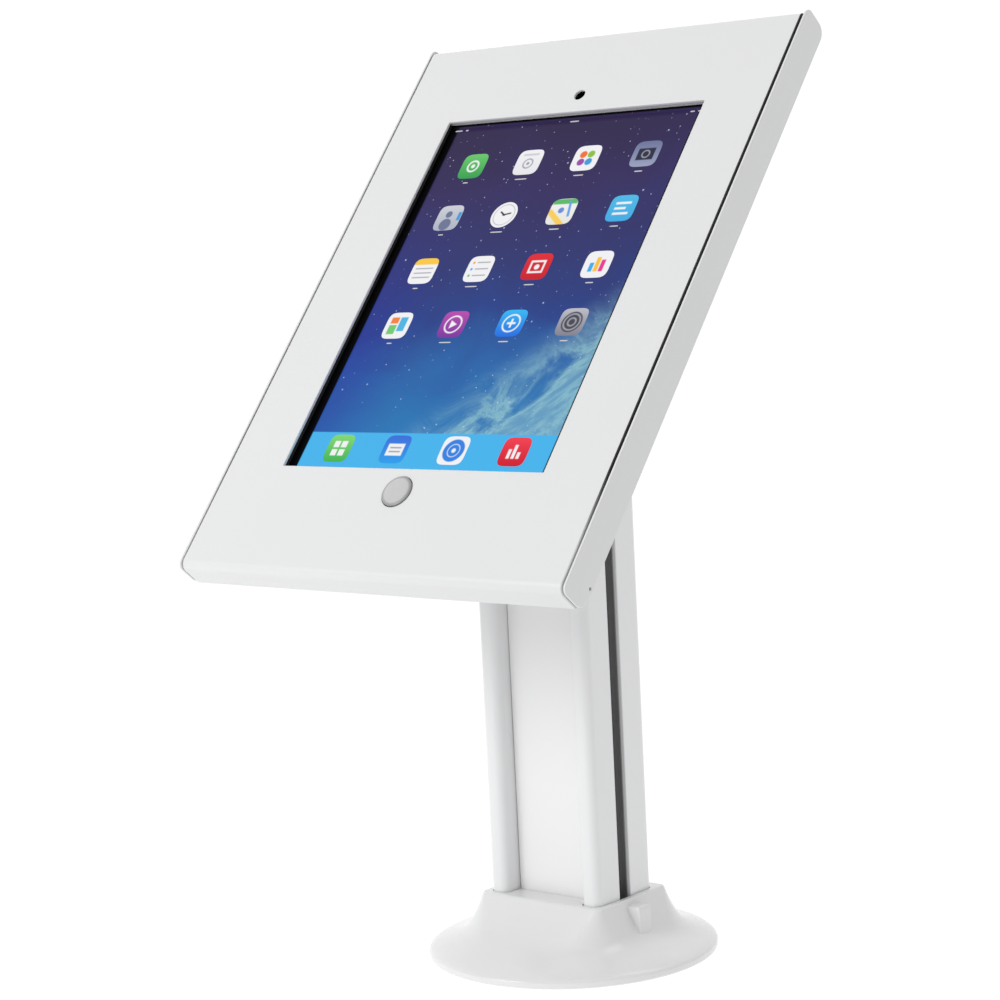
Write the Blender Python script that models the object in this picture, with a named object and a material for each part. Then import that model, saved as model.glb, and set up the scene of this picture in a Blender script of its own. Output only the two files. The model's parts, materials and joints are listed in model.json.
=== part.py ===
"""Countertop tablet kiosk: a lockable steel head on an aluminium post with a round foot.

World frame, in metres: origin at the centre of the foot on the counter, +Z up, +X to the
right of a person who faces the screen, -Y towards that person.
Head frame: origin at the window's centre on the front face of the panel, x to the right,
y up along the panel and z out of its front face, so depths behind the face are negative.
"""

import math

import bmesh
import bpy
from mathutils import Matrix, Vector
from mathutils.geometry import tessellate_polygon

MM = 0.001
GAP = 0.3 * MM                        # between pieces that touch on the real object

# ---- Head ----------------------------------------------------------------------------
TILT = math.radians(39.7)             # how far the panel leans back from the vertical
WINDOW_HEIGHT_ABOVE_FLOOR = 310.0 * MM
WINDOW_FORWARD = 35.5 * MM            # window centre in front of the post's centre line

PANEL_WIDTH = 213.8 * MM
PANEL_TOP = 146.1 * MM                # above the window's centre, along the panel
PANEL_BOTTOM = 153.4 * MM             # below it, to the underside of the folded lip
PANEL_SHEET = 1.5 * MM
FOLD_RADIUS = 4.0 * MM                # outside radius of the bottom fold
TOP_FOLD_RADIUS = 2.5 * MM
TOP_FLANGE = 8.0 * MM                 # depth of the flange along the panel's top edge
WINDOW_WIDTH = 147.8 * MM
WINDOW_LENGTH = 197.1 * MM
CAMERA_Y = 108.6 * MM
CAMERA_HOLE_RADIUS = 2.9 * MM
HOME_Y = -110.2 * MM
HOME_COVER_RADIUS = 7.5 * MM
HOME_COVER_RISE = 1.1 * MM            # height of its dome above the panel
HOME_COVER_TRAVEL = 0.9 * MM

HEAD_DEPTH = 16.4 * MM
CASE_SHEET = 1.2 * MM
SEAM = 0.9 * MM                       # between the panel's edge and the case's side plate
CASE_OVER_TOP = 2.4 * MM              # case top above the panel's top edge
CASE_TOP_SET_BACK = 5.0 * MM          # front edge of the case's top wall behind the face
CASE_CORNER = 3.5 * MM                # front corner radius of the side plates
CASE_BACK_CORNER = 5.5 * MM           # the same at the back
CASE_FLOOR_SET_BACK = 3.0 * MM

# ---- Panel hinge ---------------------------------------------------------------------
HINGE_RADIUS = 1.8 * MM               # outside radius of the knuckles
HINGE_BORE = 1.15 * MM
HINGE_PIN_RADIUS = 0.85 * MM
HINGE_LEAF = 1.0 * MM
HINGE_LEAF_WIDTH = 10.0 * MM
HINGE_END_MARGIN = 11.0 * MM          # hinge end to panel edge
HINGE_KNUCKLES = 5
HINGE_FROM_BACK = 2.6 * MM            # hinge axis in front of the back face

# ---- Tablet --------------------------------------------------------------------------
TABLET_WIDTH = 169.5 * MM
TABLET_LENGTH = 240.0 * MM
TABLET_THICKNESS = 7.5 * MM
TABLET_CENTRE_Y = -0.8 * MM
TABLET_CORNER = 9.0 * MM
TABLET_SET_BACK = 4.3 * MM            # glass behind the panel's front face
TABLET_WALL = 1.0 * MM
GLASS = 0.7 * MM
DISPLAY_WIDTH = 147.8 * MM
DISPLAY_LENGTH = 197.1 * MM
DISPLAY_THICKNESS = 1.6 * MM
TABLET_HOME_RADIUS = 4.8 * MM
TABLET_HOME_SUNK = 0.2 * MM           # below the glass surface
TABLET_HOME_THICKNESS = 1.5 * MM
SIDE_BUTTON_LENGTH = 9.0 * MM
SIDE_BUTTON_WIDTH = 2.2 * MM
SIDE_BUTTON_PROUD = 0.6 * MM
SLEEP_BUTTON_X = 66.0 * MM
VOLUME_BUTTON_Y = (95.0 * MM, 82.0 * MM)
CAMERA_MODULE_RADIUS = 3.0 * MM

# ---- Pieces that hold the tablet -----------------------------------------------------
CRADLE_WALL_Y = 6.0 * MM              # cradle rail above and below the tablet
CRADLE_PLAY = 1.0 * MM                # room for the side buttons
CRADLE_SET_BACK = 8.0 * MM            # cradle's front behind the panel face
CABLE_CHANNEL = 12.0 * MM
FOAM_WIDTH = 7.0 * MM
FOAM_INSET = 0.8 * MM                 # foam behind the window's edge
PAD_MARGIN = 10.0 * MM                # back pad inside the tablet's outline

# ---- Lock ----------------------------------------------------------------------------
LOCK_BELOW_TOP = 13.0 * MM            # lock axis below the case's top face
LOCK_BARREL_RADIUS = 6.0 * MM
LOCK_HEAD_RADIUS = 7.5 * MM
LOCK_HEAD_PROUD = 3.0 * MM
LOCK_BORE = 4.3 * MM
LOCK_PLUG_RADIUS = 4.0 * MM
LOCK_NUT_ACROSS_FLATS = 15.5 * MM
LOCK_NUT_THICKNESS = 3.0 * MM
CAM_LENGTH = 16.0 * MM
CAM_WIDTH = 8.0 * MM
CAM_THICKNESS = 1.2 * MM
CAM_SET_BACK = 5.4 * MM               # front of the cam behind the panel face
CAM_SCREW_RADIUS = 2.0 * MM
STRIKER_SHEET = 1.2 * MM
STRIKER_LENGTH = 10.0 * MM

# ---- Post ----------------------------------------------------------------------------
POST_WIDTH = 63.0 * MM
POST_DEPTH = 42.0 * MM
POST_CORNER = 4.0 * MM
RAIL_WIDTH = 10.0 * MM                # the round-edged rails beside the recessed strips
STRIP_RECESS = 10.0 * MM
STRIP_THICKNESS = 2.0 * MM
SLOT_OPENING = 8.0 * MM
SLOT_LIP = 2.5 * MM
SLOT_CAVITY_WIDTH = 14.0 * MM
SLOT_DEPTH = 9.0 * MM
POST_WALL = 2.0 * MM
PORT_RADIUS = 2.2 * MM                # screw ports in the rails

# ---- Head bracket --------------------------------------------------------------------
BRACKET_SIZE = 84.0 * MM
BRACKET_PLATE = 4.0 * MM
BRACKET_CORNER = 6.0 * MM
SPIGOT_LENGTH = 60.0 * MM             # below the post's lowest top edge
SPIGOT_WALL = 2.6 * MM
CASE_SCREW_SPACING = 64.0 * MM
SCREW_RADIUS = 1.95 * MM
SCREW_HOLE = 2.3 * MM
SCREW_HEAD_RADIUS = 3.8 * MM
SCREW_HEAD_HEIGHT = 2.3 * MM
SPIGOT_SCREW_DROP = 24.0 * MM         # screw axis below the post's lowest top edge

# ---- Foot ----------------------------------------------------------------------------
COVER_RADIUS = 67.0 * MM
COVER_HEIGHT = 28.0 * MM
COVER_WALL = 2.6 * MM
COVER_LIFT = 0.4 * MM                 # rim above the counter
COVER_RIM = 2.8 * MM                  # height of the upright rim
COLLAR_WALL = 3.0 * MM                # round the post, at the top
COLLAR_REAR_WALL = 6.5 * MM           # the same behind the post
COLLAR_CORNER = 3.0 * MM
COLLAR_PLAY = 0.4 * MM
BOSS_WIDTH = 9.0 * MM
BOSS_PROUD = 8.0 * MM
BOSS_LOW = 8.0 * MM                   # its lower end, sunk in the flare
PLATE_RADIUS = 52.0 * MM
PLATE_THICKNESS = 3.0 * MM
PAD_THICKNESS = 1.5 * MM
ANCHOR_CIRCLE_RADIUS = 45.0 * MM
ANCHOR_HOLE = 2.75 * MM
FLOOR_CABLE_HOLE = 5.0 * MM           # radius; beside the centre, inside the post's hollow
FLOOR_CABLE_X = 11.0 * MM
BASE_SCREW_HEAD = 4.0 * MM
BASE_SCREW_LENGTH = 24.0 * MM

# ---- Places that follow from the sizes above -----------------------------------------
CASE_INNER = PANEL_WIDTH / 2 + SEAM                     # half width inside the side plates
CASE_OUTER = CASE_INNER + CASE_SHEET
CASE_TOP = PANEL_TOP + CASE_OVER_TOP
LIP_INNER = -PANEL_BOTTOM + PANEL_SHEET
HINGE_Y = LIP_INNER + GAP + HINGE_RADIUS
HINGE_Z = -HEAD_DEPTH + HINGE_FROM_BACK
CASE_FLOOR = HINGE_Y + HINGE_RADIUS + GAP               # underside of the case's floor
BACK_INNER = -HEAD_DEPTH + CASE_SHEET
TABLET_BACK = -TABLET_SET_BACK - TABLET_THICKNESS
GLASS_BACK = -TABLET_SET_BACK - GLASS
SHELL_FRONT = GLASS_BACK - GAP
PAD_FRONT = TABLET_BACK - GAP
LOCK_Y = CASE_TOP - LOCK_BELOW_TOP
CAM_BACK = -CAM_SET_BACK - CAM_THICKNESS
BRACKET_FRONT = -HEAD_DEPTH - GAP
BRACKET_BACK = BRACKET_FRONT - BRACKET_PLATE
BASE_TOP = PAD_THICKNESS + GAP + PLATE_THICKNESS
HINGE = Vector((0.0, HINGE_Y, HINGE_Z))
LOCK = Vector((0.0, LOCK_Y, 0.0))
HOME = Vector((0.0, HOME_Y, 0.0))

ROUND = 32                            # sides of a large round, and of a small one
SMALL_ROUND = 16
FOLD_STEPS = 6


# ---- Scene, materials and placing ----------------------------------------------------
def clear_scene():
    for item in list(bpy.data.objects):
        bpy.data.objects.remove(item, do_unlink=True)


def make_material(name, colour, roughness, metallic=0.0):
    material = bpy.data.materials.new(name)
    material.use_nodes = True
    shader = material.node_tree.nodes["Principled BSDF"]
    shader.inputs["Base Color"].default_value = (*colour, 1.0)
    shader.inputs["Roughness"].default_value = roughness
    shader.inputs["Metallic"].default_value = metallic
    return material


def make_empty(name, location, rotation=(0.0, 0.0, 0.0)):
    empty = bpy.data.objects.new(name, None)
    empty.location = location
    empty.rotation_euler = rotation
    bpy.context.collection.objects.link(empty)
    return empty


def finish(bm, name, material, parent=None, origin=(0.0, 0.0, 0.0)):
    """Turn a bmesh drawn in its parent's frame into an object whose origin is at `origin`."""
    bmesh.ops.remove_doubles(bm, verts=bm.verts, dist=0.00001)
    bmesh.ops.recalc_face_normals(bm, faces=bm.faces)
    bmesh.ops.translate(bm, verts=bm.verts, vec=-Vector(origin))
    mesh = bpy.data.meshes.new(name)
    bm.to_mesh(mesh)
    bm.free()
    mesh.shade_smooth()
    mesh.set_sharp_from_angle(angle=math.radians(30.0))
    if material:
        mesh.materials.append(material)
    item = bpy.data.objects.new(name, mesh)
    item.parent = parent
    item.location = origin
    bpy.context.collection.objects.link(item)
    return item


def combine(target, tool_bm, operation, parent=None):
    """Cut, or join, a closed bmesh with an object through an exact Boolean."""
    tool = finish(tool_bm, f"{target.name}_{operation.lower()}_tool", None, parent)
    tool.hide_render = True
    tool.display_type = "WIRE"
    modifier = target.modifiers.new(operation.title(), "BOOLEAN")
    modifier.operation = operation
    modifier.solver = "EXACT"
    modifier.object = tool


# ---- Outlines: lists of (a, b) points ------------------------------------------------
def circle(radius, sides=ROUND, centre=(0.0, 0.0), turn=0.0):
    steps = [turn + 2 * math.pi * i / sides for i in range(sides)]
    return [(centre[0] + radius * math.cos(t), centre[1] + radius * math.sin(t)) for t in steps]


def rounded(corners, steps=FOLD_STEPS):
    """Polygon of (a, b, radius) corners, each one rounded to its radius."""
    outline = []
    for i, (a, b, radius) in enumerate(corners):
        corner = Vector((a, b))
        before = (Vector(corners[i - 1][:2]) - corner).normalized()
        after = (Vector(corners[(i + 1) % len(corners)][:2]) - corner).normalized()
        if radius <= 0:
            outline.append((a, b))
            continue
        half = before.angle(after) / 2
        centre = corner + (before + after).normalized() * radius / math.sin(half)
        start = corner + before * radius / math.tan(half) - centre
        end = corner + after * radius / math.tan(half) - centre
        turn = start.angle_signed(end)
        for k in range(steps + 1):
            spoke = Matrix.Rotation(-turn * k / steps, 2) @ start
            outline.append(tuple(centre + spoke))
    return outline


def rectangle(width, height, radius=0.0, centre=(0.0, 0.0), steps=FOLD_STEPS):
    a, b = width / 2, height / 2
    x, y = centre
    corners = [(x - a, y - b), (x + a, y - b), (x + a, y + b), (x - a, y + b)]
    return rounded([(u, v, radius) for u, v in corners], steps)


# ---- Solids --------------------------------------------------------------------------
AXES = {
    "X": lambda a, b, h: (h, a, b),
    "Y": lambda a, b, h: (a, h, b),
    "Z": lambda a, b, h: (a, b, h),
}


def prism(bm, loops, low, high, axis="Z", top=None):
    """Extrude an outline, with holes in it, from `low` to `high` along an axis.

    `top`, a function of the two outline coordinates, replaces a flat `high` end.
    """
    to_point = AXES[axis]
    flat = [point for loop in loops for point in loop]
    bottom = [bm.verts.new(to_point(a, b, low)) for a, b in flat]
    upper = [bm.verts.new(to_point(a, b, top(a, b) if top else high)) for a, b in flat]
    start = 0
    for loop in loops:
        count = len(loop)
        for i in range(count):
            j = (i + 1) % count
            ring = (bottom[start + i], bottom[start + j], upper[start + j], upper[start + i])
            bm.faces.new(ring)
        start += count
    for triangle in cap_triangles(loops):
        bm.faces.new([upper[i] for i in triangle])
        bm.faces.new([bottom[i] for i in reversed(triangle)])
    return bm


def cap_triangles(loops):
    """Triangles that fill an outline with holes, found on a copy turned off its axes.

    The turn keeps points that share a height from making slivers.
    """
    turn = Matrix.Rotation(math.radians(17.0), 2)
    return tessellate_polygon([[(turn @ Vector(point)).to_3d() for point in loop]
                               for loop in loops])


def turned(bm, profile, centre=(0.0, 0.0, 0.0), axis="Z", sides=ROUND):
    """Turn (radius, height) points about an axis through `centre`; a closed solid."""
    to_point = AXES[axis]
    rings = []
    for radius, height in profile:
        spokes = circle(radius, sides) if radius > 0 else [(0.0, 0.0)]
        rings.append([bm.verts.new(Vector(to_point(a, b, height)) + Vector(centre))
                      for a, b in spokes])
    for lower, upper in zip(rings, rings[1:] + rings[:1]):
        if len(lower) == 1 and len(upper) == 1:
            continue
        for i in range(sides):
            j = (i + 1) % sides
            corners = [lower[i % len(lower)], lower[j % len(lower)],
                       upper[j % len(upper)], upper[i % len(upper)]]
            bm.faces.new(list(dict.fromkeys(corners)))
    return bm


def loft(bm, rings):
    """Skin closed rings of points that all have the same number of points, and cap the ends."""
    loops = [[bm.verts.new(point) for point in ring] for ring in rings]
    for lower, upper in zip(loops, loops[1:]):
        count = len(lower)
        for i in range(count):
            j = (i + 1) % count
            bm.faces.new((lower[i], lower[j], upper[j], upper[i]))
    bm.faces.new(loops[0])
    bm.faces.new(loops[-1])
    return bm


def pan_screw(bm, centre, axis, seat, direction, length, head_radius=SCREW_HEAD_RADIUS,
              head_height=SCREW_HEAD_HEIGHT, radius=SCREW_RADIUS):
    """Screw whose head stands on `seat`, opposite to `direction`, with a drive recess."""
    recess = radius * 0.75
    heights = [(0.0, 0.45), (recess, 0.45), (recess, 1.0), (head_radius * 0.7, 1.0),
               (head_radius, 0.55), (head_radius, 0.0)]
    profile = [(r, seat - direction * h * head_height) for r, h in heights]
    tip = seat + direction * length
    profile += [(radius, seat), (radius, tip - direction * radius * 0.5),
                (radius * 0.5, tip), (0.0, tip)]
    return turned(bm, profile, centre, axis, SMALL_ROUND)


# ---- Front panel and the pieces that swing with it ------------------------------------
def build_front_panel(head, steel):
    back = -HEAD_DEPTH + HINGE_FROM_BACK
    section = rounded([
        (PANEL_TOP, 0.0, TOP_FOLD_RADIUS),
        (PANEL_TOP, -TOP_FLANGE, 0.0),
        (PANEL_TOP - PANEL_SHEET, -TOP_FLANGE, 0.0),
        (PANEL_TOP - PANEL_SHEET, -PANEL_SHEET, TOP_FOLD_RADIUS - PANEL_SHEET),
        (LIP_INNER, -PANEL_SHEET, FOLD_RADIUS - PANEL_SHEET),
        (LIP_INNER, back, 0.0),
        (-PANEL_BOTTOM, back, 0.0),
        (-PANEL_BOTTOM, 0.0, FOLD_RADIUS),
    ])
    panel = finish(prism(bmesh.new(), [section], -PANEL_WIDTH / 2, PANEL_WIDTH / 2, "X"),
                   "front_panel", steel, head, HINGE)
    cuts = bmesh.new()
    through = (-2 * PANEL_SHEET, PANEL_SHEET)
    prism(cuts, [rectangle(WINDOW_WIDTH, WINDOW_LENGTH)], *through)
    prism(cuts, [circle(CAMERA_HOLE_RADIUS, SMALL_ROUND, (0.0, CAMERA_Y))], *through)
    prism(cuts, [circle(HOME_COVER_RADIUS + GAP, ROUND, (0.0, HOME_Y))], *through)
    combine(panel, cuts, "DIFFERENCE", head)


def build_foam_strips(head, foam, pale_foam):
    """Strips behind the panel, round the window, that press on the tablet's border."""
    front = -PANEL_SHEET - GAP
    back = -TABLET_SET_BACK + GAP
    half_x = WINDOW_WIDTH / 2 + FOAM_INSET
    half_y = WINDOW_LENGTH / 2 + FOAM_INSET
    side_length = 2 * half_y
    ring_half = HOME_COVER_RADIUS + 4.6 * MM
    for side, name in ((-1, "foam_left"), (1, "foam_right")):
        outline = rectangle(FOAM_WIDTH, side_length, 0.0, (side * (half_x + FOAM_WIDTH / 2), 0.0))
        finish(prism(bmesh.new(), [outline], back, front), name, foam, head, HINGE)
    top = rectangle(2 * (half_x + FOAM_WIDTH), CAMERA_Y - CAMERA_HOLE_RADIUS - half_y - 2 * GAP,
                    0.0, (0.0, (half_y + CAMERA_Y - CAMERA_HOLE_RADIUS) / 2))
    finish(prism(bmesh.new(), [top], back, front), "foam_top", pale_foam, head, HINGE)
    for side, name in ((-1, "foam_bottom_left"), (1, "foam_bottom_right")):
        outer = half_x + FOAM_WIDTH
        outline = rectangle(outer - ring_half, FOAM_WIDTH, 0.0,
                            (side * (outer + ring_half) / 2, -half_y - FOAM_WIDTH / 2 - GAP))
        finish(prism(bmesh.new(), [outline], back, front), name, foam, head, HINGE)


def build_home_cover(head, button, ring_material):
    """Domed push cover over the tablet's home button, and the ring that guides it."""
    flange_front = -PANEL_SHEET - GAP
    flange_back = flange_front - 0.8 * MM
    foot = -TABLET_SET_BACK - TABLET_HOME_SUNK + 0.6 * MM
    flange_radius = HOME_COVER_RADIUS + 1.7 * MM
    edge = 0.35 * MM
    steps = 5
    dome = [(HOME_COVER_RADIUS * math.sin(k / steps * math.pi / 2),
             edge + (HOME_COVER_RISE - edge) * math.cos(k / steps * math.pi / 2))
            for k in range(steps + 1)]
    profile = dome + [(HOME_COVER_RADIUS, flange_front), (flange_radius, flange_front),
                      (flange_radius, flange_back), (3.5 * MM, flange_back), (3.5 * MM, foot),
                      (0.0, foot)]
    finish(turned(bmesh.new(), profile, HOME), "home_button_cover", button, head, HOME)
    inner = flange_radius + GAP
    outer = inner + 1.6 * MM
    ring = [circle(outer, ROUND, (0.0, HOME_Y)), circle(inner, ROUND, (0.0, HOME_Y))]
    finish(prism(bmesh.new(), ring, -TABLET_SET_BACK + GAP, flange_front),
           "button_guide_ring", ring_material, head, HINGE)


def build_striker(head, zinc):
    """Hooked bracket on the panel; its foot passes behind the lock's cam."""
    base = -PANEL_SHEET - GAP
    foot_front = CAM_BACK - 1.7 * MM
    leg = CAM_LENGTH + 2.0 * MM
    tail = leg + STRIKER_SHEET + 10.0 * MM
    outline = [(leg, base), (leg, foot_front), (leg - 8.5 * MM, foot_front),
               (leg - 8.5 * MM, foot_front - STRIKER_SHEET),
               (leg + STRIKER_SHEET, foot_front - STRIKER_SHEET),
               (leg + STRIKER_SHEET, base - STRIKER_SHEET), (tail, base - STRIKER_SHEET),
               (tail, base)]
    bm = prism(bmesh.new(), [outline], LOCK_Y - STRIKER_LENGTH / 2, LOCK_Y + STRIKER_LENGTH / 2,
               "Y")
    finish(bm, "lock_striker", zinc, head, HINGE)


# ---- Rear case -----------------------------------------------------------------------
def case_screw_places():
    """Screw centres in the head frame, round the point where the post's centre meets it."""
    half = CASE_SCREW_SPACING / 2
    middle = bracket_centre_y()
    return [(sx * half, middle + sy * half) for sy in (1, -1) for sx in (-1, 1)]


def build_rear_case(head, steel):
    side = rounded([
        (-PANEL_BOTTOM, 0.0, CASE_CORNER),
        (CASE_TOP, 0.0, CASE_CORNER),
        (CASE_TOP, -HEAD_DEPTH, CASE_BACK_CORNER),
        (-PANEL_BOTTOM, -HEAD_DEPTH, CASE_BACK_CORNER),
    ])
    case = finish(prism(bmesh.new(), [side], -CASE_OUTER, CASE_OUTER, "X"),
                  "rear_case", steel, head)
    far = 0.02
    inner_radius = CASE_BACK_CORNER - CASE_SHEET
    cavity = rounded([
        (-PANEL_BOTTOM - far, far, 0.0),
        (CASE_TOP + far, far, 0.0),
        (CASE_TOP + far, -CASE_TOP_SET_BACK, 0.0),
        (CASE_TOP - CASE_SHEET, -CASE_TOP_SET_BACK, 0.0),
        (CASE_TOP - CASE_SHEET, BACK_INNER, inner_radius),
        (CASE_FLOOR + CASE_SHEET, BACK_INNER, inner_radius),
        (CASE_FLOOR + CASE_SHEET, -CASE_FLOOR_SET_BACK, 0.0),
        (CASE_FLOOR, -CASE_FLOOR_SET_BACK, 0.0),
        (CASE_FLOOR, -HEAD_DEPTH - far, 0.0),
        (-PANEL_BOTTOM - far, -HEAD_DEPTH - far, 0.0),
    ])
    combine(case, prism(bmesh.new(), [cavity], -CASE_INNER, CASE_INNER, "X"), "DIFFERENCE", head)
    holes = bmesh.new()
    through = (-HEAD_DEPTH - CASE_SHEET, BACK_INNER + CASE_SHEET)
    prism(holes, [circle(LOCK_BARREL_RADIUS + GAP, ROUND, (0.0, LOCK_Y))], *through)
    prism(holes, [circle(CABLE_CHANNEL / 2, ROUND, (0.0, bracket_centre_y()))], *through)
    for place in case_screw_places():
        prism(holes, [circle(SCREW_HOLE, SMALL_ROUND, place)], *through)
    combine(case, holes, "DIFFERENCE", head)


def build_hinge(head, steel, pin_steel):
    """Piano hinge between the case's floor and the panel's lip; odd knuckles stay with the case."""
    length = PANEL_WIDTH - 2 * HINGE_END_MARGIN
    pitch = length / HINGE_KNUCKLES
    leaves = (("case_hinge_leaf", 0, HINGE_RADIUS - HINGE_LEAF, HINGE_RADIUS, (0.0, 0.0, 0.0)),
              ("panel_hinge_leaf", 1, -HINGE_RADIUS, -HINGE_RADIUS + HINGE_LEAF, HINGE))
    for name, first, low, high, origin in leaves:
        outline = [(HINGE_Y + low, HINGE_Z), (HINGE_Y + high, HINGE_Z),
                   (HINGE_Y + high, HINGE_Z + HINGE_LEAF_WIDTH),
                   (HINGE_Y + low, HINGE_Z + HINGE_LEAF_WIDTH)]
        leaf = finish(prism(bmesh.new(), [outline], -length / 2, length / 2, "X"),
                      name, steel, head, origin)
        barrel = prism(bmesh.new(), [circle(HINGE_RADIUS, SMALL_ROUND, (HINGE_Y, HINGE_Z))],
                       -length / 2, length / 2, "X")
        combine(leaf, barrel, "UNION", head)
        bore = prism(bmesh.new(), [circle(HINGE_BORE, SMALL_ROUND, (HINGE_Y, HINGE_Z))],
                     -length / 2 - pitch, length / 2 + pitch, "X")
        combine(leaf, bore, "DIFFERENCE", head)
        gaps = bmesh.new()
        reach = HINGE_RADIUS + GAP
        for i in range(HINGE_KNUCKLES):
            if i % 2 == first:
                continue
            start = -length / 2 + i * pitch - (GAP if i > 0 else pitch / 2)
            end = -length / 2 + (i + 1) * pitch + (GAP if i + 1 < HINGE_KNUCKLES else pitch / 2)
            square = rectangle(2 * reach, 2 * reach, 0.0, (HINGE_Y, HINGE_Z))
            prism(gaps, [square], start, end, "X")
        combine(leaf, gaps, "DIFFERENCE", head)
    pin = prism(bmesh.new(), [circle(HINGE_PIN_RADIUS, SMALL_ROUND, (HINGE_Y, HINGE_Z))],
                -length / 2 - 1.0 * MM, length / 2 + 1.0 * MM, "X")
    finish(pin, "hinge_pin", pin_steel, head)


# ---- Lock ----------------------------------------------------------------------------
def build_lock(head, chrome, brass, zinc):
    outer = -HEAD_DEPTH - GAP
    barrel_end = CAM_BACK - 1.0 * MM
    barrel = [(LOCK_BORE, outer - LOCK_HEAD_PROUD),
              (LOCK_HEAD_RADIUS - 0.8 * MM, outer - LOCK_HEAD_PROUD),
              (LOCK_HEAD_RADIUS, outer - LOCK_HEAD_PROUD + 0.8 * MM),
              (LOCK_HEAD_RADIUS, outer), (LOCK_BARREL_RADIUS, outer),
              (LOCK_BARREL_RADIUS, barrel_end), (LOCK_BORE, barrel_end)]
    finish(turned(bmesh.new(), barrel, LOCK), "lock_barrel", chrome, head)
    nut_back = BACK_INNER + GAP
    hexagon = circle(LOCK_NUT_ACROSS_FLATS / math.sqrt(3.0), 6, (0.0, LOCK_Y))
    hole = circle(LOCK_BARREL_RADIUS + GAP, ROUND, (0.0, LOCK_Y))
    nut = prism(bmesh.new(), [hexagon, hole], nut_back, nut_back + LOCK_NUT_THICKNESS)
    finish(nut, "lock_nut", zinc, head)

    plug_face = outer - LOCK_HEAD_PROUD
    plug_end = CAM_BACK - GAP
    screw_bore = CAM_SCREW_RADIUS + GAP
    bore_end = plug_end - 5.0 * MM
    plug = [(0.0, plug_face), (LOCK_PLUG_RADIUS, plug_face), (LOCK_PLUG_RADIUS, plug_end),
            (screw_bore, plug_end), (screw_bore, bore_end), (0.0, bore_end)]
    plug = finish(turned(bmesh.new(), plug, LOCK), "lock_plug", brass, head, LOCK)
    keyway = prism(bmesh.new(), [rectangle(1.3 * MM, 5.6 * MM, 0.0, (0.0, LOCK_Y))],
                   plug_face - 1.0 * MM, plug_face + 4.0 * MM)
    combine(plug, keyway, "DIFFERENCE", head)

    tip = LOCK_Y - CAM_LENGTH + CAM_WIDTH / 2
    bar = rounded([(-CAM_WIDTH / 2, tip - CAM_WIDTH / 2, CAM_WIDTH * 0.3),
                   (CAM_WIDTH / 2, tip - CAM_WIDTH / 2, CAM_WIDTH * 0.3),
                   (CAM_WIDTH / 2, LOCK_Y + CAM_WIDTH / 2, CAM_WIDTH * 0.49),
                   (-CAM_WIDTH / 2, LOCK_Y + CAM_WIDTH / 2, CAM_WIDTH * 0.49)])
    hole = circle(screw_bore, SMALL_ROUND, (0.0, LOCK_Y))
    finish(prism(bmesh.new(), [bar, hole], CAM_BACK, -CAM_SET_BACK), "lock_cam", zinc, head, LOCK)
    seat = -CAM_SET_BACK + GAP
    screw = pan_screw(bmesh.new(), LOCK, "Z", seat, -1, seat - bore_end - 1.0 * MM,
                      3.2 * MM, 1.6 * MM, CAM_SCREW_RADIUS)
    finish(screw, "cam_screw", zinc, head, LOCK)


# ---- Tablet --------------------------------------------------------------------------
def side_button_places():
    """Name, centre on the tablet's edge, and outward direction of each small button."""
    edge_x = TABLET_WIDTH / 2
    edge_y = TABLET_CENTRE_Y + TABLET_LENGTH / 2
    middle = (SHELL_FRONT + TABLET_BACK) / 2
    up, down = VOLUME_BUTTON_Y
    return (("sleep_button", Vector((SLEEP_BUTTON_X, edge_y, middle)), "Y"),
            ("volume_up_button", Vector((edge_x, up, middle)), "X"),
            ("volume_down_button", Vector((edge_x, down, middle)), "X"))


def side_button_block(bm, place, axis, play, outward, inward):
    """Round-ended bar through the tablet's wall, `play` larger all round."""
    length = SIDE_BUTTON_LENGTH + 2 * play
    width = SIDE_BUTTON_WIDTH + 2 * play
    if axis == "X":
        outline = rectangle(length, width, width * 0.45, (place.y, place.z))
        return prism(bm, [outline], place.x - inward, place.x + outward, "X")
    outline = rectangle(length, width, width * 0.45, (place.x, place.z))
    return prism(bm, [outline], place.y - inward, place.y + outward, "Y")


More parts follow.
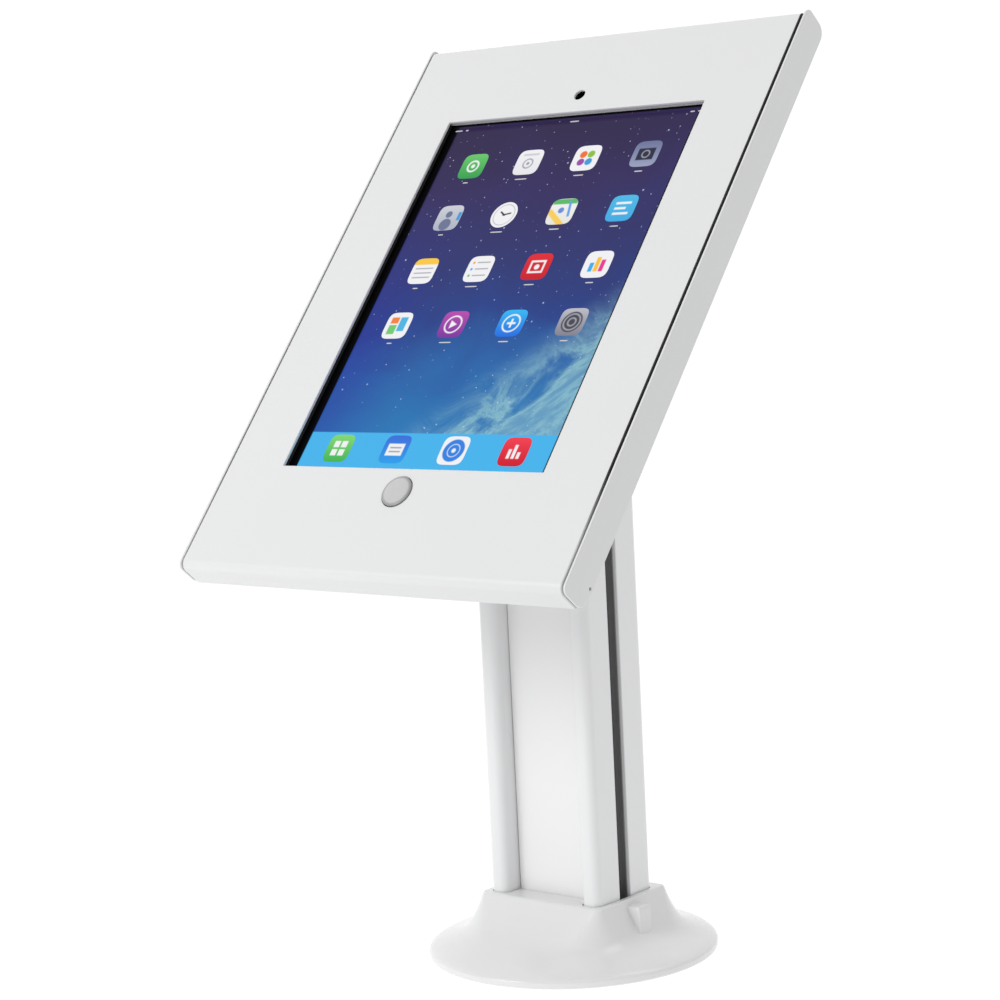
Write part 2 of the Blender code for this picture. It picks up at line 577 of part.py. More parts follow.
def build_tablet(head, materials):
    centre = (0.0, TABLET_CENTRE_Y)
    outline = rectangle(TABLET_WIDTH, TABLET_LENGTH, TABLET_CORNER, centre)
    shell = finish(prism(bmesh.new(), [outline], TABLET_BACK, SHELL_FRONT),
                   "tablet_shell", materials["aluminium"], head)
    inside = rectangle(TABLET_WIDTH - 2 * TABLET_WALL, TABLET_LENGTH - 2 * TABLET_WALL,
                       TABLET_CORNER - TABLET_WALL, centre)
    floor = TABLET_BACK + TABLET_WALL
    combine(shell, prism(bmesh.new(), [inside], floor, 0.0), "DIFFERENCE", head)
    slots = bmesh.new()
    for name, place, axis in side_button_places():
        side_button_block(slots, place, axis, GAP, TABLET_WALL, 2 * TABLET_WALL)
        button = side_button_block(bmesh.new(), place, axis, 0.0, SIDE_BUTTON_PROUD,
                                   TABLET_WALL + 0.6 * MM)
        finish(button, name, materials["aluminium"], head, place)
    combine(shell, slots, "DIFFERENCE", head)

    home_hole = circle(TABLET_HOME_RADIUS + GAP, ROUND, (0.0, HOME_Y))
    glass = prism(bmesh.new(), [outline, home_hole], GLASS_BACK, -TABLET_SET_BACK)
    finish(glass, "tablet_glass", materials["glass"], head)
    home_front = -TABLET_SET_BACK - TABLET_HOME_SUNK
    rim = TABLET_HOME_RADIUS
    home = [(0.0, home_front - 0.3 * MM), (rim * 0.75, home_front - 0.2 * MM),
            (rim * 0.92, home_front), (rim, home_front),
            (rim, home_front - TABLET_HOME_THICKNESS), (0.0, home_front - TABLET_HOME_THICKNESS)]
    finish(turned(bmesh.new(), home, HOME), "tablet_home_button", materials["black"], head, HOME)

    display_back = SHELL_FRONT - DISPLAY_THICKNESS
    display = rectangle(DISPLAY_WIDTH, DISPLAY_LENGTH)
    finish(prism(bmesh.new(), [display], display_back, SHELL_FRONT),
           "tablet_display", materials["display"], head)
    camera = prism(bmesh.new(), [circle(CAMERA_MODULE_RADIUS, SMALL_ROUND, (0.0, CAMERA_Y))],
                   floor + GAP, SHELL_FRONT)
    finish(camera, "tablet_camera", materials["black"], head)
    board_y = DISPLAY_LENGTH * 0.33
    battery = rectangle(DISPLAY_WIDTH * 0.8, DISPLAY_LENGTH * 0.6, 3.0 * MM,
                        (0.0, -DISPLAY_LENGTH * 0.12), 2)
    finish(prism(bmesh.new(), [battery], floor + GAP, display_back - GAP),
           "tablet_battery", materials["battery"], head)
    board = rectangle(DISPLAY_WIDTH * 0.8, DISPLAY_LENGTH * 0.2, 2.0 * MM, (0.0, board_y), 2)
    finish(prism(bmesh.new(), [board], floor + GAP, floor + GAP + 1.0 * MM),
           "tablet_circuit_board", materials["circuit"], head)


def build_cradle(head, plastic):
    """Moulded ring that centres the tablet, open below for the charging lead."""
    outer_x = CASE_INNER - 2 * GAP
    outer_y = TABLET_LENGTH / 2 + CRADLE_PLAY + CRADLE_WALL_Y
    inner_x = TABLET_WIDTH / 2 + CRADLE_PLAY
    inner_y = TABLET_LENGTH / 2 + CRADLE_PLAY
    middle = TABLET_CENTRE_Y
    notch = CABLE_CHANNEL / 2
    corner = TABLET_CORNER + CRADLE_PLAY
    outline = rounded([
        (notch, middle - outer_y, 0.0), (outer_x, middle - outer_y, 3.0 * MM),
        (outer_x, middle + outer_y, 3.0 * MM), (-outer_x, middle + outer_y, 3.0 * MM),
        (-outer_x, middle - outer_y, 3.0 * MM), (-notch, middle - outer_y, 0.0),
        (-notch, middle - inner_y, 0.0), (-inner_x, middle - inner_y, corner),
        (-inner_x, middle + inner_y, corner), (inner_x, middle + inner_y, corner),
        (inner_x, middle - inner_y, corner), (notch, middle - inner_y, 0.0),
    ], 4)
    finish(prism(bmesh.new(), [outline], BACK_INNER + GAP, -CRADLE_SET_BACK),
           "tablet_cradle", plastic, head)


def build_back_pad(head, foam):
    """Foam sheet behind the tablet, with clearance for the screw heads and the lead."""
    half_x = TABLET_WIDTH / 2 - PAD_MARGIN
    top = TABLET_CENTRE_Y + TABLET_LENGTH / 2 - PAD_MARGIN
    bottom = TABLET_CENTRE_Y - TABLET_LENGTH / 2 + PAD_MARGIN
    notch = CABLE_CHANNEL / 2
    notch_top = bracket_centre_y() + notch
    outline = rounded([
        (notch, bottom, 0.0), (half_x, bottom, 4.0 * MM), (half_x, top, 4.0 * MM),
        (-half_x, top, 4.0 * MM), (-half_x, bottom, 4.0 * MM), (-notch, bottom, 0.0),
        (-notch, notch_top, notch * 0.9), (notch, notch_top, notch * 0.9),
    ], 4)
    holes = [circle(SCREW_HEAD_RADIUS + 1.0 * MM, SMALL_ROUND, place)
             for place in case_screw_places()]
    finish(prism(bmesh.new(), [outline, *holes], BACK_INNER + GAP, PAD_FRONT),
           "back_pad", foam, head)


# ---- Post, its strips and the head bracket -------------------------------------------
def plane_height(y, depth):
    """World height of the plane `depth` behind the panel's face, at world distance y."""
    forward = (y + WINDOW_FORWARD) * math.cos(TILT)
    return WINDOW_HEIGHT_ABOVE_FLOOR + (depth + forward) / math.sin(TILT)


def bracket_centre_y():
    """Where the post's centre line meets the case's back, up the panel from the window."""
    return (WINDOW_FORWARD - HEAD_DEPTH * math.cos(TILT)) / math.sin(TILT)


def mirrored(quarter):
    """Full outline from the points of its first quadrant, in order from +x to +y."""
    left = [(-a, b, r) for a, b, r in reversed(quarter)]
    top = quarter + left
    return top + [(-a, -b, r) for a, b, r in top]


def post_hollow(play=0.0):
    """Half sizes of the hollow through the middle of the post, less `play`."""
    half_x = POST_WIDTH / 2 - SLOT_DEPTH - POST_WALL
    half_y = POST_DEPTH / 2 - STRIP_RECESS - STRIP_THICKNESS - GAP - POST_WALL
    return half_x - play, half_y - play


def post_outline(grow=0.0, slots=True):
    """Cross-section: two side T-slots, two recessed faces, four round-edged rails."""
    half_x = POST_WIDTH / 2 + grow
    half_y = POST_DEPTH / 2 + grow
    rail_inner = POST_WIDTH / 2 - RAIL_WIDTH - grow
    recess = POST_DEPTH / 2 - STRIP_RECESS + grow
    if slots:
        recess = POST_DEPTH / 2 - STRIP_RECESS - STRIP_THICKNESS - GAP
    corner = POST_CORNER + grow
    inner_corner = POST_CORNER - grow
    quarter = [(half_x, half_y, corner), (rail_inner, half_y, inner_corner),
               (rail_inner, recess, 0.0)]
    if slots:
        floor = POST_WIDTH / 2 - SLOT_DEPTH
        lip = POST_WIDTH / 2 - SLOT_LIP
        cavity = SLOT_CAVITY_WIDTH / 2
        opening = SLOT_OPENING / 2
        quarter = [(floor, cavity, 0.0), (lip, cavity, 0.0), (lip, opening, 0.0),
                   (half_x, opening, 0.0)] + quarter
    return rounded(mirrored(quarter))


def build_post(aluminium):
    hollow_x, hollow_y = post_hollow()
    hollow = rectangle(2 * hollow_x, 2 * hollow_y, 1.0 * MM, (0.0, 0.0), 2)
    ports = [circle(PORT_RADIUS, SMALL_ROUND, place) for place in port_places()]
    underside = BRACKET_BACK - GAP

    def slanted_top(x, y):
        return plane_height(y, underside)

    bm = prism(bmesh.new(), [post_outline(), hollow, *ports], BASE_TOP + GAP, 0.0,
               top=slanted_top)
    post = finish(bm, "post", aluminium)
    holes = bmesh.new()
    floor = POST_WIDTH / 2 - SLOT_DEPTH
    for side in (-1, 1):
        middle = side * (floor - POST_WALL / 2)
        prism(holes, [circle(SCREW_HOLE, SMALL_ROUND, (0.0, spigot_screw_height()))],
              middle - POST_WALL, middle + POST_WALL, "X")
    combine(post, holes, "DIFFERENCE")
    return post


def port_places():
    x = POST_WIDTH / 2 - RAIL_WIDTH / 2
    y = (POST_DEPTH / 2 + SLOT_CAVITY_WIDTH / 2) / 2
    return [(sx * x, sy * y) for sx in (-1, 1) for sy in (-1, 1)]


def post_low_top():
    return plane_height(-POST_DEPTH / 2, BRACKET_BACK - GAP)


def spigot_screw_height():
    return post_low_top() - SPIGOT_SCREW_DROP


def build_strips(plastic):
    """Flat infill strips in the post's front and back recesses."""
    half_x = POST_WIDTH / 2 - RAIL_WIDTH - GAP
    outer = POST_DEPTH / 2 - STRIP_RECESS
    for side, name in ((-1, "front_strip"), (1, "rear_strip")):
        outline = rectangle(2 * half_x, STRIP_THICKNESS, 0.0,
                            (0.0, side * (outer - STRIP_THICKNESS / 2)))
        finish(prism(bmesh.new(), [outline], BASE_TOP + GAP, 0.0,
                     top=lambda x, y: plane_height(y, BRACKET_BACK - GAP)), name, plastic)


def build_head_bracket(head, steel, zinc):
    """Slanted plate bolted to the case, with a hollow spigot inside the post."""
    outline = rectangle(BRACKET_SIZE, BRACKET_SIZE, BRACKET_CORNER, (0.0, bracket_centre_y()))
    holes = [circle(SCREW_HOLE, SMALL_ROUND, place) for place in case_screw_places()]
    plate = finish(prism(bmesh.new(), [outline, *holes], BRACKET_BACK, BRACKET_FRONT),
                   "head_bracket", steel, head)
    half_x, half_y = post_hollow(play=GAP)
    bottom = post_low_top() - SPIGOT_LENGTH
    spigot = prism(bmesh.new(), [rectangle(2 * half_x, 2 * half_y)], bottom, 0.0,
                   top=lambda x, y: plane_height(y, BRACKET_BACK + BRACKET_PLATE / 2))
    combine(plate, spigot, "UNION")
    channel = prism(bmesh.new(),
                    [rectangle(2 * (half_x - SPIGOT_WALL), 2 * (half_y - SPIGOT_WALL))],
                    bottom - 0.01, 0.0, top=lambda x, y: plane_height(y, 0.0))
    combine(plate, channel, "DIFFERENCE")
    drill = prism(bmesh.new(), [circle(SCREW_HOLE, SMALL_ROUND, (0.0, spigot_screw_height()))],
                  -POST_WIDTH / 2, POST_WIDTH / 2, "X")
    combine(plate, drill, "DIFFERENCE")

    for number, (x, y) in enumerate(case_screw_places(), 1):
        seat = BACK_INNER + GAP
        screw = pan_screw(bmesh.new(), (x, y, 0.0), "Z", seat, -1, seat - BRACKET_BACK)
        finish(screw, f"case_screw_{number}", zinc, head)
    floor = POST_WIDTH / 2 - SLOT_DEPTH
    for side, name in ((-1, "spigot_screw_left"), (1, "spigot_screw_right")):
        screw = pan_screw(bmesh.new(), (0.0, 0.0, spigot_screw_height()), "X",
                          side * (floor + GAP), -side, POST_WALL + SPIGOT_WALL)
        finish(screw, name, zinc)


# ---- Foot ----------------------------------------------------------------------------
def anchor_places():
    step = math.radians(45.0)
    return [(ANCHOR_CIRCLE_RADIUS * math.cos(step * k), ANCHOR_CIRCLE_RADIUS * math.sin(step * k))
            for k in (1, 3, 5, 7)]


def build_base_plate(steel, rubber, zinc):
    cable = circle(FLOOR_CABLE_HOLE, SMALL_ROUND, (FLOOR_CABLE_X, 0.0))
    anchors = [circle(ANCHOR_HOLE, SMALL_ROUND, place) for place in anchor_places()]
    low = PAD_THICKNESS + GAP
    plate = finish(prism(bmesh.new(), [circle(PLATE_RADIUS, 2 * ROUND), cable, *anchors],
                         low, BASE_TOP), "base_plate", steel)
    sinks = bmesh.new()
    head = BASE_SCREW_HEAD
    neck = SCREW_RADIUS + GAP
    for x, y in port_places():
        turned(sinks, [(0.0, low - 1.0 * MM), (head + GAP, low - 1.0 * MM),
                       (head + GAP, low + 0.2 * MM), (neck, low + 0.2 * MM + head + GAP - neck),
                       (neck, BASE_TOP + 1.0 * MM), (0.0, BASE_TOP + 1.0 * MM)],
               (x, y, 0.0), "Z", SMALL_ROUND)
    combine(plate, sinks, "DIFFERENCE")
    wide = [circle(ANCHOR_HOLE * 1.5, SMALL_ROUND, place) for place in anchor_places()]
    pad = prism(bmesh.new(), [circle(PLATE_RADIUS + 1.0 * MM, 2 * ROUND), cable, *wide],
                0.0, PAD_THICKNESS)
    finish(pad, "foot_pad", rubber)
    for number, (x, y) in enumerate(port_places(), 1):
        face = low + 0.3 * MM
        profile = [(0.0, face + 1.0 * MM), (1.4 * MM, face + 1.0 * MM), (1.4 * MM, face),
                   (head - GAP, face), (SCREW_RADIUS, face + head - GAP - SCREW_RADIUS),
                   (SCREW_RADIUS, face + BASE_SCREW_LENGTH - 1.0 * MM),
                   (SCREW_RADIUS * 0.5, face + BASE_SCREW_LENGTH),
                   (0.0, face + BASE_SCREW_LENGTH)]
        finish(turned(bmesh.new(), profile, (x, y, 0.0), "Z", SMALL_ROUND),
               f"post_screw_{number}", zinc)


def cover_rings(inset=0.0):
    """Outside, or inside, of the foot cover: rounded rectangles that open into a circle.

    The flare's share is 1 at the rim and 0 at the collar. The half sizes and the corner radius
    grow with it, so the corners fade out into the round foot.
    """
    collar_x = POST_WIDTH / 2 + COLLAR_WALL
    front = POST_DEPTH / 2 + COLLAR_WALL
    rear = POST_DEPTH / 2 + COLLAR_REAR_WALL
    profile = ((COVER_LIFT, 1.0), (COVER_RIM, 1.0), (COVER_RIM + 1.0 * MM, 0.985),
               (COVER_RIM + 2.2 * MM, 0.93), (COVER_RIM + 3.4 * MM, 0.84),
               (COVER_RIM + 4.6 * MM, 0.73), (COVER_RIM + 6.0 * MM, 0.6),
               (COVER_RIM + 7.8 * MM, 0.46), (COVER_RIM + 10.4 * MM, 0.325),
               (COVER_RIM + 14.2 * MM, 0.22), (COVER_RIM + 19.2 * MM, 0.11),
               (COVER_HEIGHT, 0.0))
    rings = []
    for height, share in profile:
        half_x = collar_x + (COVER_RADIUS - collar_x) * share ** 1.2 - inset
        low_y = front + (COVER_RADIUS - front) * share - inset
        high_y = rear + (COVER_RADIUS - rear) * share - inset
        half_y = (low_y + high_y) / 2
        sharp = COLLAR_CORNER + (COVER_RADIUS - COLLAR_CORNER) * share ** 1.1 - inset
        corner = max(min(sharp, half_x * 0.999, half_y * 0.999), 0.5 * MM)
        ring = rectangle(2 * half_x, 2 * half_y, corner, (0.0, (high_y - low_y) / 2), 10)
        rings.append([(a, b, height - inset) for a, b in ring])
    return rings


def build_base_cover(plastic):
    cover = finish(loft(bmesh.new(), cover_rings()), "base_cover", plastic)
    for side in (-1, 1):
        combine(cover, boss(side), "UNION")
    combine(cover, loft(bmesh.new(), cover_rings(COVER_WALL)), "DIFFERENCE")
    opening = prism(bmesh.new(), [post_outline(COLLAR_PLAY, slots=False)],
                    COVER_HEIGHT - 4 * COVER_WALL, COVER_HEIGHT + COVER_WALL)
    combine(cover, opening, "DIFFERENCE")


def boss(side):
    """Raised rib on the cover's flank, below the post's side slot."""
    inner = POST_WIDTH / 2 + COLLAR_WALL - 1.6 * MM
    face = POST_WIDTH / 2 + COLLAR_WALL + BOSS_PROUD
    top = COVER_HEIGHT - 2.4 * MM
    half = BOSS_WIDTH / 2
    chamfer = 1.2 * MM
    rings = []
    for z, out in ((BOSS_LOW, 1.5 * MM), (BOSS_LOW + 3.0 * MM, 0.5 * MM),
                   (top - 2.0 * MM, 0.0), (top, -1.8 * MM)):
        reach = face + out
        rings.append([(side * inner, -half, z), (side * (reach - chamfer), -half, z),
                      (side * reach, chamfer - half, z), (side * reach, half - chamfer, z),
                      (side * (reach - chamfer), half, z), (side * inner, half, z)])
    return loft(bmesh.new(), rings)


# ---- The whole object ----------------------------------------------------------------
def build_kiosk():
    clear_scene()
    white_steel = make_material("white_powder_coat", (0.86, 0.87, 0.88), 0.42)
    white_plastic = make_material("white_gloss_plastic", (0.88, 0.88, 0.88), 0.18)
    white_aluminium = make_material("white_coated_aluminium", (0.85, 0.86, 0.87), 0.3)
    zinc = make_material("zinc_plated_steel", (0.62, 0.63, 0.64), 0.35, 1.0)
    raw_steel = make_material("bare_steel", (0.45, 0.46, 0.47), 0.4, 1.0)
    chrome = make_material("chrome", (0.75, 0.75, 0.76), 0.1, 1.0)
    brass = make_material("brass", (0.72, 0.56, 0.28), 0.3, 1.0)
    foam = make_material("black_foam", (0.02, 0.02, 0.02), 0.9)
    pale_foam = make_material("pale_foam", (0.7, 0.7, 0.7), 0.9)
    grey_plastic = make_material("grey_plastic", (0.62, 0.62, 0.62), 0.3)
    rubber = make_material("rubber", (0.03, 0.03, 0.03), 0.8)
    tablet = {
        "aluminium": make_material("anodised_aluminium", (0.55, 0.56, 0.58), 0.35, 1.0),
        "glass": make_material("cover_glass", (0.02, 0.02, 0.025), 0.05),
        "black": make_material("black_plastic", (0.01, 0.01, 0.01), 0.2),
        "display": make_material("display", (0.08, 0.14, 0.4), 0.1),
        "battery": make_material("battery_film", (0.1, 0.1, 0.11), 0.5),
        "circuit": make_material("circuit_board", (0.02, 0.12, 0.06), 0.5),
    }
    head = make_empty("head_frame", (0.0, -WINDOW_FORWARD, WINDOW_HEIGHT_ABOVE_FLOOR),
                      (math.pi / 2 - TILT, 0.0, 0.0))

    build_front_panel(head, white_steel)
    build_foam_strips(head, foam, pale_foam)
    build_home_cover(head, grey_plastic, foam)
    build_striker(head, zinc)
    build_rear_case(head, white_steel)
    build_hinge(head, zinc, raw_steel)
    build_lock(head, chrome, brass, zinc)
    build_tablet(head, tablet)
    build_cradle(head, white_plastic)
    build_back_pad(head, foam)
    build_post(white_aluminium)
    build_strips(white_plastic)
    build_head_bracket(head, raw_steel, zinc)
    build_base_plate(raw_steel, rubber, zinc)
    build_base_cover(white_plastic)
    bpy.context.view_layer.update()


build_kiosk()
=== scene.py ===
"""Looks of the countertop tablet kiosk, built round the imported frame.

Lengths are in metres. The head frame has its origin at the window's centre on the panel's
front face, u to the right, v up along the panel and w out of the face.
"""

import json
import math

import bmesh
import bpy
import numpy as np
from bpy.props import FloatProperty, FloatVectorProperty, IntProperty, PointerProperty
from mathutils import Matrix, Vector
from mathutils.geometry import tessellate_polygon


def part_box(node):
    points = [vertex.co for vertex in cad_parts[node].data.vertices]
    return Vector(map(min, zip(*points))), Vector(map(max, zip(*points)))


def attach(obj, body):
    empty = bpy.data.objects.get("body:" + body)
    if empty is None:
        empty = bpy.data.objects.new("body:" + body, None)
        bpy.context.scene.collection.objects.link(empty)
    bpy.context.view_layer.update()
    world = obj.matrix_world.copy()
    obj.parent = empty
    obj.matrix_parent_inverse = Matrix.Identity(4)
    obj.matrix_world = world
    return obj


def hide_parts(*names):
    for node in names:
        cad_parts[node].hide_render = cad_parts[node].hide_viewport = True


bl_info = {
    "name": "Tablet kiosk looks",
    "version": (1, 0, 0),
    "blender": (4, 5, 0),
    "location": "View3D > Sidebar > Kiosk",
    "description": "Builds the finished surfaces of a countertop tablet kiosk",
    "category": "Object",
}

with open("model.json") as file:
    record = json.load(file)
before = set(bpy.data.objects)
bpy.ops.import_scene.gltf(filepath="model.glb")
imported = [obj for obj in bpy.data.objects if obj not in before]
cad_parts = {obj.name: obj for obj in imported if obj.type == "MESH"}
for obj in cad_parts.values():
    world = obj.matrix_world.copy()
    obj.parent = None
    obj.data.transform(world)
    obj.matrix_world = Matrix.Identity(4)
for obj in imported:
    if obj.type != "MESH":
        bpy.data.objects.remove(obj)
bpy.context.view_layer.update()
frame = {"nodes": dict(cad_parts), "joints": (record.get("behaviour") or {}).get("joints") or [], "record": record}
MM = 0.001
GAP = 0.3 * MM

# ---- The head frame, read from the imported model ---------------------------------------
JOINTS = {joint["name"]: joint for joint in frame["joints"]}
SIDEWAYS = np.array((1.0, 0.0, 0.0))
OUTWARD = np.array(JOINTS["lock_turn"]["axis"], float)
OUTWARD /= np.linalg.norm(OUTWARD)
UPWARD = np.cross(OUTWARD, SIDEWAYS)
DISPLAY_BOX = np.array([list(corner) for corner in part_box("tablet_display")])
DISPLAY_DEPTH = 6.1 * MM              # middle of the display behind the panel's face
HEAD_ORIGIN = DISPLAY_BOX.mean(0) + DISPLAY_DEPTH * OUTWARD
TILT = math.atan2(OUTWARD[2], -OUTWARD[1])

# ---- Sizes of the pieces, as in the CAD source -----------------------------------------
PANEL_WIDTH = 213.8 * MM
PANEL_TOP = 146.1 * MM
PANEL_BOTTOM = 153.4 * MM
PANEL_SHEET = 1.5 * MM
PANEL_LIP_END = 13.8 * MM
FOLD_RADIUS = 4.0 * MM
TOP_FOLD_RADIUS = 2.5 * MM
TOP_FLANGE = 8.0 * MM
WINDOW_WIDTH = 147.8 * MM
WINDOW_LENGTH = 197.1 * MM
PICTURE_WIDTH = 139.6 * MM             # lit part of the screen, inside its black border
PICTURE_CENTRE = -0.4 * MM
CAMERA_Y = 108.6 * MM
CAMERA_HOLE = 2.9 * MM
HOME_Y = -110.2 * MM
HOME_RADIUS = 7.5 * MM
HOME_RISE = 1.1 * MM
HOME_GLASS_HOLE = 5.1 * MM

HEAD_DEPTH = 16.4 * MM
CASE_SHEET = 1.2 * MM
CASE_INNER = 107.8 * MM
CASE_TOP = 148.5 * MM
CASE_TOP_FRONT = 5.0 * MM
CASE_FLOOR_FRONT = 3.0 * MM
CASE_CORNER = 3.5 * MM
CASE_BACK_CORNER = 5.5 * MM
CASE_CABLE_RADIUS = 6.0 * MM
DRAIN_RADIUS = 0.7 * MM
DRAIN_UP = 10.0 * MM
DRAIN_IN = 1.9 * MM
HINGE_V = -149.8 * MM
HINGE_RADIUS = 1.8 * MM
CASE_FLOOR = HINGE_V + HINGE_RADIUS + GAP
BACK_INNER = -HEAD_DEPTH + CASE_SHEET

TABLET_WIDTH = 169.5 * MM
TABLET_LENGTH = 240.0 * MM
TABLET_CENTRE = -0.8 * MM
TABLET_CORNER = 9.0 * MM
GLASS_FRONT = -4.3 * MM
GLASS = 0.7 * MM
TABLET_BACK = GLASS_FRONT - 7.5 * MM

LOCK_V = 135.5 * MM
LOCK_OUTER = -HEAD_DEPTH - GAP
LOCK_HEAD_PROUD = 3.0 * MM
LOCK_HEAD_RADIUS = 7.5 * MM
LOCK_BARREL_RADIUS = 6.0 * MM
LOCK_BORE = 4.3 * MM
LOCK_PLUG_RADIUS = 4.0 * MM
CAM_FRONT = -5.4 * MM
CAM_THICKNESS = 1.2 * MM

POST_WIDTH = 63.0 * MM
POST_DEPTH = 42.0 * MM
POST_CORNER = 4.0 * MM
RAIL_WIDTH = 10.0 * MM
STRIP_RECESS = 10.0 * MM
STRIP_THICKNESS = 2.0 * MM
SLOT_OPENING = 8.0 * MM
SLOT_LIP = 2.5 * MM
SLOT_CAVITY = 14.0 * MM
SLOT_DEPTH = 9.0 * MM
POST_WALL = 2.0 * MM
POST_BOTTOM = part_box("post")[0].z

BRACKET_FRONT = -HEAD_DEPTH - GAP
BRACKET_PLATE = 4.0 * MM
BRACKET_BACK = BRACKET_FRONT - BRACKET_PLATE
BRACKET_SIZE = 84.0 * MM
CASE_SCREW_SPACING = 64.0 * MM
SCREW_HEAD_RADIUS = 3.8 * MM
SCREW_HEAD_HEIGHT = 2.3 * MM
SCREW_RADIUS = 1.95 * MM

COVER_RADIUS = 67.0 * MM
COVER_HEIGHT = 28.0 * MM
COVER_WALL = 2.6 * MM
COVER_LIFT = 0.4 * MM
COVER_RIM = 2.8 * MM
COLLAR_WALL = 3.0 * MM
COLLAR_REAR_WALL = 6.5 * MM
COLLAR_CORNER = 3.0 * MM
COLLAR_PLAY = 0.4 * MM
BOSS_WIDTH = 9.0 * MM
BOSS_PROUD = 8.0 * MM
BOSS_LOW = 8.0 * MM

ARC = 10                              # steps round a rounded corner
EDGE = 3                              # steps round a broken edge
WELD = 1.0e-6                         # points closer than this are one point
SHARP = 35.0                          # degrees: a sharper edge is shaded as a corner
SLIVER_TURN = math.radians(17.0)      # turn that keeps points in line from making slivers


# ---- Settings a user would change --------------------------------------------------------
class KioskSettings(bpy.types.PropertyGroup):
    white: FloatVectorProperty(
        name="White paint", description="Colour of the powder coat on the steel",
        default=(0.82, 0.825, 0.83), subtype="COLOR", min=0.0, max=1.0)
    plastic: FloatVectorProperty(
        name="White plastic", description="Colour of the foot cover and the post's strips",
        default=(0.86, 0.86, 0.865), subtype="COLOR", min=0.0, max=1.0)
    paint_roughness: FloatProperty(
        name="Paint roughness", description="Roughness of the powder coat",
        default=0.36, min=0.0, max=1.0, subtype="FACTOR")
    plastic_roughness: FloatProperty(
        name="Plastic roughness", description="Roughness of the foot cover",
        default=0.16, min=0.0, max=1.0, subtype="FACTOR")
    edge_radius: FloatProperty(
        name="Edge radius", description="Rounding of the sheet metal's cut edges",
        default=0.35 * MM, min=0.05 * MM, max=0.5 * MM, subtype="DISTANCE", unit="LENGTH")
    fold_steps: IntProperty(
        name="Fold steps", description="Steps round each bend of the sheet metal",
        default=14, min=4, max=40)
    screen_strength: FloatProperty(
        name="Screen strength", description="How brightly the screen shines",
        default=1.0, min=0.0, max=10.0)
    sky_strength: FloatProperty(
        name="Studio strength", description="Strength of the soft light from all round",
        default=1.0, min=0.0, max=10.0)
    key_power: FloatProperty(
        name="Key light", description="Power of the large soft light before the front",
        default=13.5, min=0.0, max=100.0, subtype="POWER", unit="POWER")
    focal_length: FloatProperty(
        name="Focal length", description="Focal length of the camera, in millimetres",
        default=90.33, min=10.0, max=300.0)


# ---- Outlines: arrays of (a, b) points ---------------------------------------------------
def swung(vector, angles):
    """The vector turned by each angle: (a cos - b sin, a sin + b cos)."""
    a, b = vector
    return np.stack([a * np.cos(angles) - b * np.sin(angles),
                     a * np.sin(angles) + b * np.cos(angles)], 1)


def rounded(corners, steps=ARC):
    """Polygon of (a, b, radius) corners, each replaced by an arc tangent to its two sides."""
    points = []
    flat = [np.array(corner[:2], float) for corner in corners]
    for i, (a, b, radius) in enumerate(corners):
        corner = flat[i]
        if radius <= 0:
            points.append(corner[None, :])
            continue
        before = flat[i - 1] - corner
        after = flat[(i + 1) % len(flat)] - corner
        before /= np.linalg.norm(before)
        after /= np.linalg.norm(after)
        half = math.acos(max(-1.0, min(1.0, before @ after))) / 2
        middle = (before + after) / np.linalg.norm(before + after)
        centre = corner + middle * radius / math.sin(half)
        first = corner + before * radius / math.tan(half) - centre
        last = corner + after * radius / math.tan(half) - centre
        angle = math.atan2(first[0] * last[1] - first[1] * last[0], first @ last)
        points.append(centre + swung(first, np.linspace(0.0, angle, steps + 1)))
    return np.concatenate(points)


def rectangle(width, height, radius=0.0, centre=(0.0, 0.0), steps=ARC):
    """Rectangle about a centre, its four corners rounded to one radius."""
    a, b = width / 2, height / 2
    x, y = centre
    places = ((x - a, y - b), (x + a, y - b), (x + a, y + b), (x - a, y + b))
    return rounded([(u, v, radius) for u, v in places], steps)


def circle(radius, sides=64, centre=(0.0, 0.0)):
    """Regular polygon on a circle: centre + radius x (cos, sin) of even turns."""
    turn = np.arange(sides) * 2 * math.pi / sides
    return np.stack([centre[0] + radius * np.cos(turn), centre[1] + radius * np.sin(turn)], 1)


def anticlockwise(outline, wanted=True):
    """The outline run anticlockwise, or clockwise if not wanted, by its signed area."""
    a, b = outline[:, 0], outline[:, 1]
    area = np.sum(a * np.roll(b, -1) - b * np.roll(a, -1))
    return outline if (area > 0) == wanted else outline[::-1]


def inset(outline, distance):
    """Outline moved to its left by a distance: inwards when it runs anticlockwise.

    Each point moves along the sum of its two sides' normals, over one plus their dot product.
    """
    side = np.roll(outline, -1, 0) - outline
    side /= np.maximum(np.linalg.norm(side, axis=1, keepdims=True), 1e-12)
    normal = np.stack([-side[:, 1], side[:, 0]], 1)
    before = np.roll(normal, 1, 0)
    share = 1 + np.sum(normal * before, 1, keepdims=True)
    return outline + distance * (normal + before) / np.maximum(share, 0.2)


def at_height(outline, level):
    """The outline's points with a height: one for all of them, or one each."""
    return np.column_stack([outline, np.full(len(outline), 0.0) + level])


def edge_arc(radius, steps=EDGE):
    """Pairs (inset, drop) down a rounded edge, from the flat face to the upright wall."""
    turn = np.linspace(0.0, math.pi / 2, steps + 1)
    return np.stack([radius * (1 - np.sin(turn)), radius * (1 - np.cos(turn))], 1)


# ---- Shapes ------------------------------------------------------------------------------
# Which of the local (a, b, height) is sideways, up the panel and outwards, by height's axis.
ORDER = {"Z": (0, 1, 2), "X": (2, 0, 1), "Y": (0, 2, 1)}


